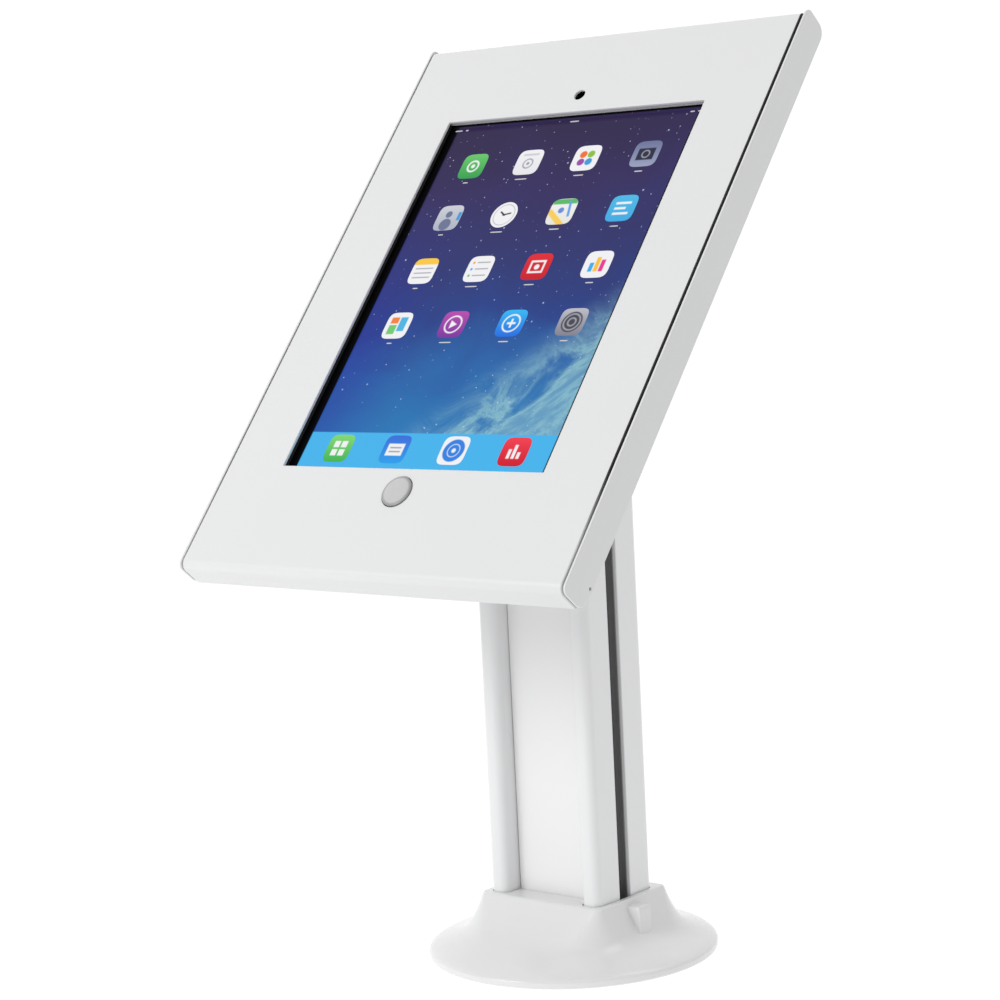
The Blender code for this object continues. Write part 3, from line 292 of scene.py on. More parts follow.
class Shape:
    """Points and faces gathered for one mesh; local points are (a, b, height)."""

    def __init__(self, axis="Z", head=True):
        self.order = ORDER[axis]
        self.head = head
        self.points = []
        self.faces = []
        self.count = 0

    def place(self, local):
        """Local (a, b, height) to the row frame, through the head frame if asked."""
        moved = np.asarray(local, float)[:, self.order]
        if not self.head:
            return moved
        return (HEAD_ORIGIN + moved[:, :1] * SIDEWAYS + moved[:, 1:2] * UPWARD
                + moved[:, 2:] * OUTWARD)

    def add(self, local, faces):
        self.points.append(self.place(local))
        self.faces.extend((np.asarray(faces) + self.count).tolist())
        self.count += len(local)

    def grid(self, rows, close_rows=False, close_columns=True):
        """Surface of two parameters: rows is an array (rows, columns, 3) of local points."""
        rows = np.asarray(rows, float)
        height, width = rows.shape[:2]
        index = np.arange(height * width).reshape(height, width)
        if close_rows:
            index = np.concatenate([index, index[:1]])
        if close_columns:
            index = np.concatenate([index, index[:, :1]], 1)
        quads = np.stack([index[:-1, :-1], index[:-1, 1:], index[1:, 1:], index[1:, :-1]], -1)
        self.add(rows.reshape(-1, 3), quads.reshape(-1, 4))

    def cap(self, loops, heights):
        """Flat face inside the first loop and outside the others, at one height each point."""
        c, s = math.cos(SLIVER_TURN), math.sin(SLIVER_TURN)
        leaning = [np.stack([loop[:, 0] * c - loop[:, 1] * s, loop[:, 0] * s + loop[:, 1] * c], 1)
                   for loop in loops]
        triangles = tessellate_polygon([[Vector((a, b, 0.0)) for a, b in loop]
                                        for loop in leaning])
        flat = np.concatenate(loops)
        level = heights(flat[:, 0], flat[:, 1]) if callable(heights) else heights
        self.add(at_height(flat, level), triangles)

    def join(self, other):
        """Takes over another shape's placed points and faces."""
        self.faces.extend([[i + self.count for i in corners] for corners in other.faces])
        self.points.extend(other.points)
        self.count += other.count

    def mesh(self, name, sharp=SHARP):
        """Mesh of all the faces: doubles merged, normals outwards, sharp edges marked."""
        mesh = bpy.data.meshes.new(name)
        mesh.from_pydata(np.concatenate(self.points).tolist(), [], self.faces)
        bm = bmesh.new()
        bm.from_mesh(mesh)
        bmesh.ops.remove_doubles(bm, verts=bm.verts, dist=WELD)
        bmesh.ops.recalc_face_normals(bm, faces=bm.faces)
        bm.to_mesh(mesh)
        bm.free()
        mesh.shade_smooth()
        mesh.set_sharp_from_angle(angle=math.radians(sharp))
        return mesh


def make_piece(shape, name, body, replaced, slot, sharp=SHARP, finish=None):
    """Object whose place is in its mesh, riding on a body and standing for CAD nodes."""
    mesh = shape if isinstance(shape, bpy.types.Mesh) else shape.mesh(name, sharp)
    mesh.materials.clear()
    mesh.materials.append(finish_for(finish or slot))
    piece = bpy.data.objects.new(name, mesh)
    bpy.context.scene.collection.objects.link(piece)
    smooth = piece.modifiers.new("Even shading", "WEIGHTED_NORMAL")
    smooth.keep_sharp = True
    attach(piece, body)
    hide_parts(*replaced)
    return piece


def combine(base, tool, operation, name):
    """Mesh of two closed meshes joined, or of one cut by the other, by an exact Boolean."""
    scene = bpy.context.scene
    first = bpy.data.objects.new(name, base)
    second = bpy.data.objects.new(name + "_tool", tool)
    scene.collection.objects.link(first)
    scene.collection.objects.link(second)
    modifier = first.modifiers.new(operation.title(), "BOOLEAN")
    modifier.operation = operation
    modifier.solver = "EXACT"
    modifier.object = second
    graph = bpy.context.evaluated_depsgraph_get()
    result = bpy.data.meshes.new_from_object(first.evaluated_get(graph))
    bpy.data.objects.remove(first)
    bpy.data.objects.remove(second)
    result.name = name
    result.shade_smooth()
    result.set_sharp_from_angle(angle=math.radians(SHARP))
    return result


def plate(shape, outline, holes, low, high, edge, steps=EDGE):
    """Flat plate with holes; each edge is a quarter round from the wall to the flat face."""
    loops = [anticlockwise(outline)] + [anticlockwise(hole, False) for hole in holes]
    arc = edge_arc(edge, steps)
    for loop in loops:
        shape.grid([at_height(inset(loop, i), high - d) for i, d in arc]
                   + [at_height(inset(loop, i), low + d) for i, d in arc[::-1]])
    flat = [inset(loop, edge) for loop in loops]
    shape.cap(flat, high)
    shape.cap(flat, low)
    return shape


def extrusion(shape, loops, low, top):
    """Outline with holes carried from one height to a level or a slanted top."""
    for loop in loops:
        level = top(loop[:, 0], loop[:, 1]) if callable(top) else top
        shape.grid([at_height(loop, low), at_height(loop, level)])
    shape.cap(loops, low)
    shape.cap(loops, top)
    return shape


def turned(shape, profile, centre=(0.0, 0.0), sides=96, closed=False):
    """Profile of (radius, height) points turned once about an axis through the centre."""
    turn = np.arange(sides) * 2 * math.pi / sides
    profile = np.asarray(profile, float)
    rows = np.empty((len(profile), sides, 3))
    rows[:, :, 0] = centre[0] + profile[:, :1] * np.cos(turn)
    rows[:, :, 1] = centre[1] + profile[:, :1] * np.sin(turn)
    rows[:, :, 2] = profile[:, 1:]
    shape.grid(rows, close_rows=closed)
    return shape


def fold_path(corners, steps):
    """Points, left-hand normals and the row where each straight run starts.

    Corners are (a, b, outside radius); the first and last have no radius. Each bend is an arc
    on which the normal turns evenly from one run's normal to the next one's.
    """
    places = np.array([corner[:2] for corner in corners], float)
    run = np.diff(places, axis=0)
    run /= np.linalg.norm(run, axis=1, keepdims=True)
    normal = np.stack([-run[:, 1], run[:, 0]], 1)
    points, normals, starts = [places[:1]], [normal[:1]], [0]
    for i in range(1, len(corners) - 1):
        radius = corners[i][2]
        first, last = normal[i - 1], normal[i]
        angle = math.atan2(first[0] * last[1] - first[1] * last[0], first @ last)
        back = radius * math.tan(abs(angle) / 2)
        centre = places[i] - run[i - 1] * back - first * radius
        arm = swung(first, np.linspace(0.0, angle, steps + 1))
        points.append(centre + radius * arm)
        normals.append(arm)
        starts.append(sum(len(p) for p in points) - 1)
    points.append(places[-1:])
    normals.append(normal[-1:])
    return np.concatenate(points), np.concatenate(normals), starts


def folded_sheet(shape, corners, half_width, sheet, edge, steps, flat):
    """Sheet of even thickness carried along a bent path, with rounded edges.

    A point is (path + normal x depth, x): the ring is a thin rounded rectangle of x and
    depth. The flat run gets only its narrow edges here. Gives the rows and where it starts.
    """
    path, normals, starts = fold_path(corners, steps)
    start, end = path[0], path[-1]
    first_run = (path[1] - path[0]) / np.linalg.norm(path[1] - path[0])
    last_run = (path[-1] - path[-2]) / np.linalg.norm(path[-1] - path[-2])

    def ring(step_inset):
        broad = rectangle(2 * (half_width - step_inset), sheet - 2 * step_inset,
                          max(edge - step_inset, 1e-7), (0.0, -sheet / 2), EDGE)
        return np.roll(broad, -(EDGE + 1), 0)      # starts where the inner face ends

    def rows_at(place, normal, step_inset):
        x, depth = ring(step_inset).T
        return np.column_stack([place[0] + normal[0] * depth, place[1] + normal[1] * depth, x])

    arc = edge_arc(edge)
    rows = [rows_at(start + first_run * d, normals[0], i) for i, d in arc]
    middle = [rows_at(p, n, 0.0) for p, n in zip(path[1:-1], normals[1:-1])]
    rows += middle
    rows += [rows_at(end - last_run * d, normals[-1], i) for i, d in arc[::-1]]
    rows = np.array(rows)
    cut = len(arc) - 1 + starts[flat]
    shape.grid(rows[:cut + 1])
    shape.grid(rows[cut + 1:])
    wall = 2 * (EDGE + 1)                          # points round one narrow edge
    for column in (0, wall):
        shape.grid(rows[cut:cut + 2, column:column + wall], close_columns=False)
    return rows, cut


# ---- Shader maths ------------------------------------------------------------------------
def linear(colour):
    """Display colour (0 to 1) to linear light."""
    values = np.asarray(colour, float)
    low = values / 12.92
    high = ((np.maximum(values, 0.04045) + 0.055) / 1.055) ** 2.4
    return np.where(values <= 0.04045, low, high)


def rgba(colour):
    return (*[float(part) for part in colour], 1.0)


def find_socket(sockets, key):
    """Socket by number, by identifier or by name."""
    if isinstance(key, int):
        return sockets[key]
    for socket in sockets:
        if socket.identifier == key:
            return socket
    return sockets[key]


class Value:
    """An output socket; an operator on it adds one Math node and gives that node's output."""

    def __init__(self, finish, socket):
        self.finish = finish
        self.socket = socket

    def math(self, operation, *others):
        inputs = {i: value for i, value in enumerate((self, *others))}
        return self.finish.node("ShaderNodeMath", {"operation": operation}, inputs)

    def __add__(self, other):
        return self.math("ADD", other)

    def __sub__(self, other):
        return self.math("SUBTRACT", other)

    def __mul__(self, other):
        return self.math("MULTIPLY", other)

    def __truediv__(self, other):
        return self.math("DIVIDE", other)

    def __pow__(self, other):
        return self.math("POWER", other)

    def __rsub__(self, other):
        return self.finish.node("ShaderNodeMath", {"operation": "SUBTRACT"},
                                {0: other, 1: self})

    __radd__ = __add__
    __rmul__ = __mul__

    def absolute(self):
        return self.math("ABSOLUTE")

    def above(self, edge, softness):
        """0 below an edge and 1 above it, with a soft step between."""
        return self.finish.node("ShaderNodeMapRange", {"interpolation_type": "SMOOTHSTEP"},
                                {"Value": self, "From Min": edge - softness,
                                 "From Max": edge + softness})

    def below(self, edge, softness):
        return 1.0 - self.above(edge, softness)


class Finish:
    """One material: its node tree and the Principled shader in it."""

    def __init__(self, name, colour, roughness, metallic=0.0, specular=0.5):
        self.material = bpy.data.materials.new(name)
        self.material.use_nodes = True
        self.tree = self.material.node_tree
        self.shader = self.tree.nodes["Principled BSDF"]
        self.colour = colour
        self.set("Base Color", rgba(colour))
        self.set("Roughness", roughness)
        self.set("Metallic", metallic)
        self.set("Specular IOR Level", specular)
        self.material.diffuse_color = rgba(colour)

    def set(self, name, value):
        socket = self.shader.inputs[name]
        if isinstance(value, Value):
            self.tree.links.new(value.socket, socket)
        else:
            socket.default_value = value

    def node(self, kind, settings=None, inputs=None, output=0):
        """Adds a node: its settings first, then the values or links of its sockets."""
        node = self.tree.nodes.new(kind)
        for key, value in (settings or {}).items():
            if key == "stops":
                ramp = node.color_ramp
                ramp.elements[0].position, ramp.elements[0].color = value[0]
                ramp.elements[1].position, ramp.elements[1].color = value[-1]
                for position, colour in value[1:-1]:
                    ramp.elements.new(position).color = colour
            else:
                setattr(node, key, value)
        for key, value in (inputs or {}).items():
            socket = find_socket(node.inputs, key)
            if isinstance(value, Value):
                self.tree.links.new(value.socket, socket)
            else:
                socket.default_value = value
        return Value(self, find_socket(node.outputs, output))

    def place(self, scale=(1.0, 1.0, 1.0), turn=(0.0, 0.0, 0.0), centre=(0.0, 0.0, 0.0)):
        """Object coordinates, centred, turned and stretched for a pattern."""
        where = self.node("ShaderNodeTexCoord", output="Object")
        moved = self.node("ShaderNodeVectorMath", {"operation": "SUBTRACT"},
                          {0: where, 1: centre})
        return self.node("ShaderNodeMapping", {},
                         {"Vector": moved, "Rotation": turn, "Scale": scale})

    def along(self, direction, origin=(0.0, 0.0, 0.0)):
        """Distance of the point from an origin along a direction, in metres."""
        where = self.node("ShaderNodeTexCoord", output="Object")
        moved = self.node("ShaderNodeVectorMath", {"operation": "SUBTRACT"},
                          {0: where, 1: tuple(origin)})
        return self.node("ShaderNodeVectorMath", {"operation": "DOT_PRODUCT"},
                         {0: moved, 1: tuple(direction)}, "Value")

    def noise(self, where, scale, detail=2.0, roughness=0.5, distortion=0.0):
        return self.node("ShaderNodeTexNoise", {},
                         {"Vector": where, "Scale": scale, "Detail": detail,
                          "Roughness": roughness, "Distortion": distortion})

    def cells(self, where, scale, output="Distance"):
        return self.node("ShaderNodeTexVoronoi", {}, {"Vector": where, "Scale": scale}, output)

    def mix(self, factor, first, second):
        return self.node("ShaderNodeMix", {"data_type": "RGBA"},
                         {"Factor_Float": factor, "A_Color": first, "B_Color": second},
                         "Result_Color")

    def bump(self, height, distance):
        self.set("Normal", self.node("ShaderNodeBump", {},
                                     {"Height": height, "Distance": distance, "Strength": 1.0}))

    def vary(self, pattern, amount, roughness, swing):
        """Colour and roughness that follow a 0 to 1 pattern; gives the colour."""
        darker = rgba([part * (1 - amount) for part in self.colour])
        colour = self.mix(pattern, darker, rgba(self.colour))
        self.set("Base Color", colour)
        self.set("Roughness", pattern * swing + (roughness - swing / 2))
        return colour


def painted(name, colour, roughness):
    """Powder coat: orange-peel skin, faint change of gloss, and painted shade on the cut edges.

    The panel's cut edges face the side plates across a narrow seam, darkened by painted
    shade: a narrow band of |x|, a little wider on the right, and paler by the lower fold.
    """
    finish = Finish(name, colour, roughness)
    where = finish.place()
    coat = finish.vary(finish.noise(where, 22.0, 3.0), 0.02, roughness, 0.07)
    across = finish.along(SIDEWAYS).absolute()
    # Painted shade in the seams: dark bands on the cut edges, wider on the right.
    edge = across.above(PANEL_WIDTH / 2 - 0.16 * MM, 0.03 * MM)
    right_seam_shade = finish.along(SIDEWAYS).above(PANEL_WIDTH / 2 - 0.6 * MM, 0.05 * MM)
    seam_shade = edge.math("MAXIMUM", right_seam_shade) * across.below(CASE_INNER - 0.3 * MM, 0.05 * MM)
    upper = finish.along(UPWARD, HEAD_ORIGIN).above(-118.0 * MM, 24.0 * MM)
    seam_shade = seam_shade * (upper * 0.8 + 0.2)
    # Painted shade: the seam band is near black.
    finish.set("Base Color", finish.mix(seam_shade, coat, (0.02, 0.02, 0.022, 1.0)))
    peel = finish.noise(where, 700.0, 2.0) + finish.noise(where, 2600.0, 1.0) * 0.3
    finish.bump(peel, 0.012 * MM)
    return finish.material


def drawn_aluminium(name, colour, roughness):
    """Coated extrusion: faint die lines along the post; painted shade darkens inside its side slots."""
    finish = Finish(name, colour, roughness)
    lines = finish.noise(finish.place((1.0, 1.0, 0.006)), 900.0, 2.0)
    skin = finish.noise(finish.place(), 1500.0, 1.0)
    coat = finish.vary(finish.noise(finish.place((1.0, 1.0, 0.05)), 60.0, 2.0), 0.02,
                       roughness, 0.06)
    across = finish.along((1.0, 0.0, 0.0)).absolute()
    slot = (across.above(POST_WIDTH / 2 - SLOT_DEPTH - 0.6 * MM, 0.2 * MM)
            * across.below(POST_WIDTH / 2 - 0.7 * SLOT_LIP, 0.4 * MM)
            * finish.along((0.0, 1.0, 0.0)).absolute().below(SLOT_CAVITY / 2 + 0.3 * MM,
                                                             0.2 * MM))
    # Painted shade: the inside of each side slot is a dark grey streaked by the die lines.
    slot_shade = finish.mix(lines, (0.24, 0.24, 0.242, 1.0), (0.42, 0.42, 0.422, 1.0))
    finish.set("Base Color", finish.mix(slot, coat, slot_shade))
    finish.bump(lines + skin * 0.4, 0.006 * MM)
    return finish.material


def moulded(name, colour, roughness, grain=0.004):
    """Moulded plastic: slight sink and flow over a very fine grain."""
    finish = Finish(name, colour, roughness)
    where = finish.place()
    finish.vary(finish.noise(where, 14.0, 2.0), 0.015, roughness, 0.05)
    flow = finish.noise(where, 60.0, 1.0) * 2.0 + finish.noise(where, 3000.0, 1.0) * 0.4
    finish.bump(flow, grain * MM)
    return finish.material


def foam_finish(name, colour):
    """Open-cell foam: round pores, darker inside."""
    finish = Finish(name, colour, 0.95, specular=0.2)
    pores = finish.cells(finish.place(), 1600.0)
    cloud = finish.noise(finish.place(), 400.0, 3.0)
    light = rgba([min(1.0, part * 1.5 + 0.01) for part in colour])
    finish.set("Base Color", finish.mix(pores * 0.7 + cloud * 0.3, rgba(colour), light))
    finish.bump(pores + cloud * 0.5, 0.12 * MM)
    return finish.material


def metal(name, colour, roughness, grain, stretch=(1.0, 1.0, 1.0), depth=0.006):
    """Bare or plated metal: patches of tone, and grain stretched along one direction."""
    finish = Finish(name, colour, roughness, metallic=1.0)
    patches = finish.noise(finish.place(), 90.0, 4.0, 0.6)
    lines = finish.noise(finish.place(stretch), grain, 3.0, 0.6)
    finish.vary(patches * 0.6 + lines * 0.4, 0.16, roughness, 0.16)
    finish.bump(lines, depth * MM)
    return finish.material


def rubber_finish(name):
    """Black rubber: uneven matt tone over a pebbled skin."""
    finish = Finish(name, (0.028, 0.028, 0.03), 0.8, specular=0.3)
    where = finish.place()
    finish.vary(finish.noise(where, 130.0, 4.0), 0.35, 0.8, 0.15)
    finish.bump(finish.cells(where, 1300.0), 0.05 * MM)
    return finish.material


def board_finish(name):
    """Circuit board: solder mask with straight copper tracks and small pads."""
    finish = Finish(name, (0.01, 0.07, 0.03), 0.35)
    where = finish.place(turn=(TILT - math.pi / 2, 0.0, 0.0), centre=tuple(HEAD_ORIGIN))
    squares = finish.node("ShaderNodeTexBrick", {},
                          {"Vector": where, "Scale": 160.0, "Mortar Size": 0.03,
                           "Color1": (0.0, 0.0, 0.0, 1.0), "Color2": (0.1, 0.1, 0.1, 1.0),
                           "Mortar": (1.0, 1.0, 1.0, 1.0)})
    finish.set("Base Color", finish.mix(squares, rgba(finish.colour), (0.03, 0.16, 0.06, 1.0)))
    finish.bump(squares, 0.03 * MM)
    return finish.material


def cover_button_finish(name):
    """Grey moulded button: paler dome with painted shade darkening its rim, and a fine etched grain."""
    finish = Finish(name, (0.60, 0.60, 0.61), 0.32)
    where = finish.place(turn=(TILT - math.pi / 2, 0.0, 0.0),
                         centre=tuple(HEAD_ORIGIN + HOME_Y * UPWARD))
    flat = finish.node("ShaderNodeVectorMath", {"operation": "MULTIPLY"},
                       {0: where, 1: (1.0, 1.0, 0.0)})
    far = finish.node("ShaderNodeVectorMath", {"operation": "LENGTH"}, {0: flat}, "Value")
    # Painted shade: a darker ring round the edge of the dome.
    rim = far.above(0.86 * HOME_RADIUS, 0.1 * HOME_RADIUS)
    mottle = finish.noise(where, 500.0, 3.0)
    tone = finish.mix(mottle, (0.56, 0.56, 0.57, 1.0), (0.62, 0.62, 0.63, 1.0))
    finish.set("Base Color", finish.mix(rim, tone, (0.33, 0.33, 0.34, 1.0)))
    finish.set("Roughness", mottle * 0.1 + 0.26)
    finish.bump(finish.noise(where, 2500.0, 2.0), 0.01 * MM)
    return finish.material


def screen_finish(name, strength):
    """Cover glass over the lit picture: a night sky from violet to teal, and a pale bar.

    The UV map runs from 0 to 1 over the lit area, so the black border is outside it.
    """
    finish = Finish(name, (0.004, 0.004, 0.005), 0.06, specular=0.1)
    chart = finish.node("ShaderNodeUVMap", {"uv_map": "picture"})
    across = finish.node("ShaderNodeSeparateXYZ", {}, {0: chart}, "X")
    up = finish.node("ShaderNodeSeparateXYZ", {}, {0: chart}, "Y")
    where = finish.node("ShaderNodeVectorMath", {"operation": "MULTIPLY"},
                        {0: chart, 1: (0.75, 1.0, 1.0)})
    haze = finish.noise(where, 3.2, 6.0, 0.55, 0.6)
    stops = [(0.0, (0.16, 0.47, 0.74)), (0.14, (0.15, 0.45, 0.70)), (0.28, (0.15, 0.38, 0.65)),
             (0.42, (0.15, 0.25, 0.53)), (0.56, (0.18, 0.21, 0.44)), (0.78, (0.20, 0.17, 0.37)),
             (1.0, (0.18, 0.14, 0.29))]
    stops = [(place, rgba(linear(colour))) for place, colour in stops]
    level = up + (haze - 0.5) * 0.3 + (across - 0.5) * -0.06
    sky = finish.node("ShaderNodeValToRGB", {"stops": stops}, {0: level}, "Color")
    # A bank of thin lit cloud at the lower right, with bright ragged edges.
    curl = finish.noise(where, 5.0, 9.0, 0.62, 1.4)
    ridge = (1.0 - (curl - 0.5).absolute() * 7.0).math("MAXIMUM", 0.0)
    slope = across * 0.62 - up
    bank = slope.above(0.19, 0.11) * across.above(0.35, 0.3)
    cloud = (ridge * ridge * 0.55 + curl.above(0.5, 0.25) * 0.35) * bank
    sky = finish.mix(cloud, sky, rgba(linear((0.60, 0.80, 0.82))))
    blue = across.below(0.16, 0.18) * up.below(0.55, 0.3)
    sky = finish.mix(blue * 0.55, sky, rgba(linear((0.12, 0.18, 0.62))))
    # Stars: small discs at scattered points, each with its own brightness.
    for scale, size, cut in ((26.0, 0.055, 0.55), (60.0, 0.085, 0.62)):
        spot = finish.cells(where, scale).below(size, size * 0.7)
        tint = finish.cells(where, scale, output="Color")
        lucky = finish.node("ShaderNodeSeparateColor", {}, {0: tint}, "Red").above(cut, 0.3)
        sky = finish.mix(spot * lucky * 0.75, sky, rgba(linear((0.85, 0.90, 1.0))))
    bar = up.below(0.107, 0.0015)
    sky = finish.mix(bar, sky, rgba(linear((0.27, 0.70, 0.92))))
    lit = ((across - 0.5).absolute().below(0.5, 0.0025)
           * (up - 0.5).absolute().below(0.5, 0.0009))
    smear = finish.noise(where, 9.0, 4.0)
    finish.set("Emission Color", finish.mix(lit, (0.0, 0.0, 0.0, 1.0), sky))
    finish.set("Emission Strength", strength)
    finish.set("Roughness", smear * 0.04 + 0.04)
    return finish.material


def icon_finish(name, strength):
    """Lit shapes on the screen: the colour comes from the mesh's own attribute."""
    finish = Finish(name, (0.004, 0.004, 0.005), 0.06, specular=0.1)
    tint = finish.node("ShaderNodeAttribute", {"attribute_name": "picture_colour"}, {}, "Color")
    finish.set("Emission Color", tint)
    finish.set("Emission Strength", strength)
    return finish.material


FOOT_PAINTED_SHADE = 0.92                     # painted shade: the foot's copy of the white plastic is a little darker than the strips
FINISHES = {}


def finish_for(slot):
    """Material of a record slot, made once."""
    settings = bpy.context.scene.kiosk
    if not FINISHES:
        white, rough = tuple(settings.white), settings.paint_roughness
        gloss = settings.plastic_roughness
        FINISHES.update({
            "white_steel": painted("white_powder_coat", white, rough),
            "white_aluminium": drawn_aluminium("white_coated_aluminium", white, rough * 0.8),
            "white_plastic": moulded("white_gloss_plastic", tuple(settings.plastic), gloss),
            # Darker copy of the strips' white plastic for the foot: painted shade.
            "shaded_foot_plastic": moulded("foot_gloss_plastic", [part * FOOT_PAINTED_SHADE for part in
                                                           settings.plastic], gloss),
            "cradle_plastic": moulded("pale_cradle_plastic", (0.62, 0.62, 0.63), 0.5, 0.02),
            "button_cover": cover_button_finish("grey_button_plastic"),
            "zinc": metal("zinc_plate", (0.60, 0.61, 0.63), 0.34, 600.0),
            "steel": metal("dark_mill_steel", (0.42, 0.43, 0.44), 0.42, 500.0, (1, 0.04, 0.04)),
            "chrome": metal("bright_chrome", (0.78, 0.78, 0.79), 0.1, 1500.0, depth=0.001),
            "brass": metal("lock_brass", (0.74, 0.58, 0.30), 0.28, 1200.0, depth=0.003),
            "black_foam": foam_finish("black_foam", (0.018, 0.018, 0.019)),
            # Paler copy of the black foam, painting light onto the strip along the window's top.
            "pale_foam": foam_finish("pale_foam", (0.55, 0.55, 0.55)),
            "rubber": rubber_finish("black_rubber"),
            "tablet_aluminium": metal("blasted_aluminium", (0.60, 0.61, 0.63), 0.38, 2800.0),
            "cover_glass": screen_finish("cover_glass", settings.screen_strength),
            "display": icon_finish("screen_shapes", settings.screen_strength),
            "black_plastic": moulded("black_plastic", (0.012, 0.012, 0.013), 0.22, 0.006),
            "battery": moulded("battery_film", (0.07, 0.07, 0.08), 0.45, 0.03),
            "circuit_board": board_finish("circuit_board"),
        })
    return FINISHES[slot]


# ---- Pieces of the head --------------------------------------------------------------------
def punched_sheet(corners, half_width, sheet, edge, steps, level, facing, holes):
    """Closed folded sheet whose second run is a plane face with holes, each with round rims."""
    shape = Shape("X")
    rows, cut = folded_sheet(shape, corners, half_width, sheet, edge, steps, 1)
    for row in (rows[0], rows[-1]):                # the sheet's two ends
        half = len(row) // 2
        shape.grid(np.stack([row[:half], row[half:][::-1]]), close_columns=False)
    first, last = sorted((rows[cut, 0, 0], rows[cut + 1, 0, 0]))
    reach = half_width - edge
    border = np.array([(-reach, first), (reach, first), (reach, last), (-reach, last)])
    face = Shape("Z")
    loops = [anticlockwise(hole, False) for hole in holes]
    arc = edge_arc(edge)
    for loop in loops:
        face.grid([at_height(inset(loop, i), level - facing * d) for i, d in arc]
                  + [at_height(inset(loop, i), level - facing * (sheet - d))
                     for i, d in arc[::-1]])
    flat_loops = [anticlockwise(border)] + [inset(loop, edge) for loop in loops]
    face.cap(flat_loops, level)
    face.cap(flat_loops, level - facing * sheet)
    shape.join(face)
    return shape


def build_front_panel(settings):
    """Sheet carried round the lower lip and the top flange, with window and two holes."""
    corners = [(-PANEL_BOTTOM, -PANEL_LIP_END, 0.0), (-PANEL_BOTTOM, 0.0, FOLD_RADIUS),
               (PANEL_TOP, 0.0, TOP_FOLD_RADIUS), (PANEL_TOP, -TOP_FLANGE, 0.0)]
    window = rectangle(WINDOW_WIDTH, WINDOW_LENGTH, 0.4 * MM, steps=4)
    holes = [window, circle(CAMERA_HOLE, 48, (0.0, CAMERA_Y)),
             circle(HOME_RADIUS + GAP, 96, (0.0, HOME_Y))]
    shape = punched_sheet(corners, PANEL_WIDTH / 2, PANEL_SHEET, settings.edge_radius,
                          settings.fold_steps, 0.0, 1.0, holes)
    make_piece(shape, "front_panel_sheet", "front_panel", ["front_panel"], "white_steel")


def build_rear_case(settings):
    """Channel folded at its two back corners, and a rounded side plate at each end of it."""
    corners = [(CASE_TOP, -CASE_TOP_FRONT, 0.0), (CASE_TOP, -HEAD_DEPTH, CASE_BACK_CORNER),
               (CASE_FLOOR, -HEAD_DEPTH, CASE_BACK_CORNER), (CASE_FLOOR, -CASE_FLOOR_FRONT, 0.0)]
    holes = [circle(LOCK_BARREL_RADIUS + GAP, 64, (0.0, LOCK_V)),
             circle(CASE_CABLE_RADIUS, 64, (0.0, bracket_centre()))]
    shape = punched_sheet(corners, CASE_INNER - 0.02 * MM, CASE_SHEET, 0.3 * MM,
                          settings.fold_steps, -HEAD_DEPTH, -1.0, holes)
    make_piece(shape, "rear_case_sheet", "stand", ["rear_case"], "white_steel")
    outline = rounded([(-PANEL_BOTTOM, 0.0, CASE_CORNER), (CASE_TOP, 0.0, CASE_CORNER),
                       (CASE_TOP, -HEAD_DEPTH, CASE_BACK_CORNER),
                       (-PANEL_BOTTOM, -HEAD_DEPTH, CASE_BACK_CORNER)], settings.fold_steps)
    drain = circle(DRAIN_RADIUS, 24, (-PANEL_BOTTOM + DRAIN_UP, -HEAD_DEPTH + DRAIN_IN))
    for name, low, high in (("case_side_left", -CASE_INNER - CASE_SHEET, -CASE_INNER),
                            ("case_side_right", CASE_INNER, CASE_INNER + CASE_SHEET)):
        side = plate(Shape("X"), outline, [drain], low, high, settings.edge_radius)
        make_piece(side, name, "stand", ["rear_case"], "white_steel")


def bracket_centre():
    """Where the post's centre line meets the case's back, along the panel."""
    return (-HEAD_ORIGIN[1] - HEAD_DEPTH * math.cos(TILT)) / math.sin(TILT)


def build_home_cover():
    """Quarter ellipse turned about the button's axis, over a flange and a thin stem."""
    dome_turn = np.linspace(0.0, math.pi / 2, 17)
    edge = 0.35 * MM
    dome = np.stack([HOME_RADIUS * np.sin(dome_turn),
                     edge + (HOME_RISE - edge) * np.cos(dome_turn)], 1)
    flange = HOME_RADIUS + 1.7 * MM
    front = -PANEL_SHEET - GAP
    back = front - 0.8 * MM
    foot = GLASS_FRONT + 0.4 * MM
    below = [(HOME_RADIUS, front), (flange, front), (flange, back), (3.5 * MM, back),
             (3.5 * MM, foot), (0.0, foot)]
    shape = turned(Shape(), np.concatenate([dome, below]), (0.0, HOME_Y))
    make_piece(shape, "home_cover_dome", "home_button_cover", ["home_button_cover"],
               "button_cover", sharp=50.0)


def build_cover_glass(outline):
    """Slab with round edges; its map runs from 0 to 1 over the lit picture."""
    home_hole = circle(HOME_GLASS_HOLE, 64, (0.0, HOME_Y))
    glass = plate(Shape(), outline, [home_hole], GLASS_FRONT - GLASS, GLASS_FRONT, 0.25 * MM)
    mesh = glass.mesh("tablet_cover_glass")
    chart = mesh.uv_layers.new(name="picture")
    places = np.empty(len(mesh.vertices) * 3)
    mesh.vertices.foreach_get("co", places)
    corner = np.empty(len(mesh.loops), int)
    mesh.loops.foreach_get("vertex_index", corner)
    local = places.reshape(-1, 3)[corner] - HEAD_ORIGIN
    picture = np.stack([(local @ SIDEWAYS - PICTURE_CENTRE) / PICTURE_WIDTH,
                        local @ UPWARD / WINDOW_LENGTH], 1) + 0.5
    chart.data.foreach_set("uv", picture.ravel())
    make_piece(mesh, "tablet_cover_glass", "stand", ["tablet_glass", "tablet_display"],
               "cover_glass")


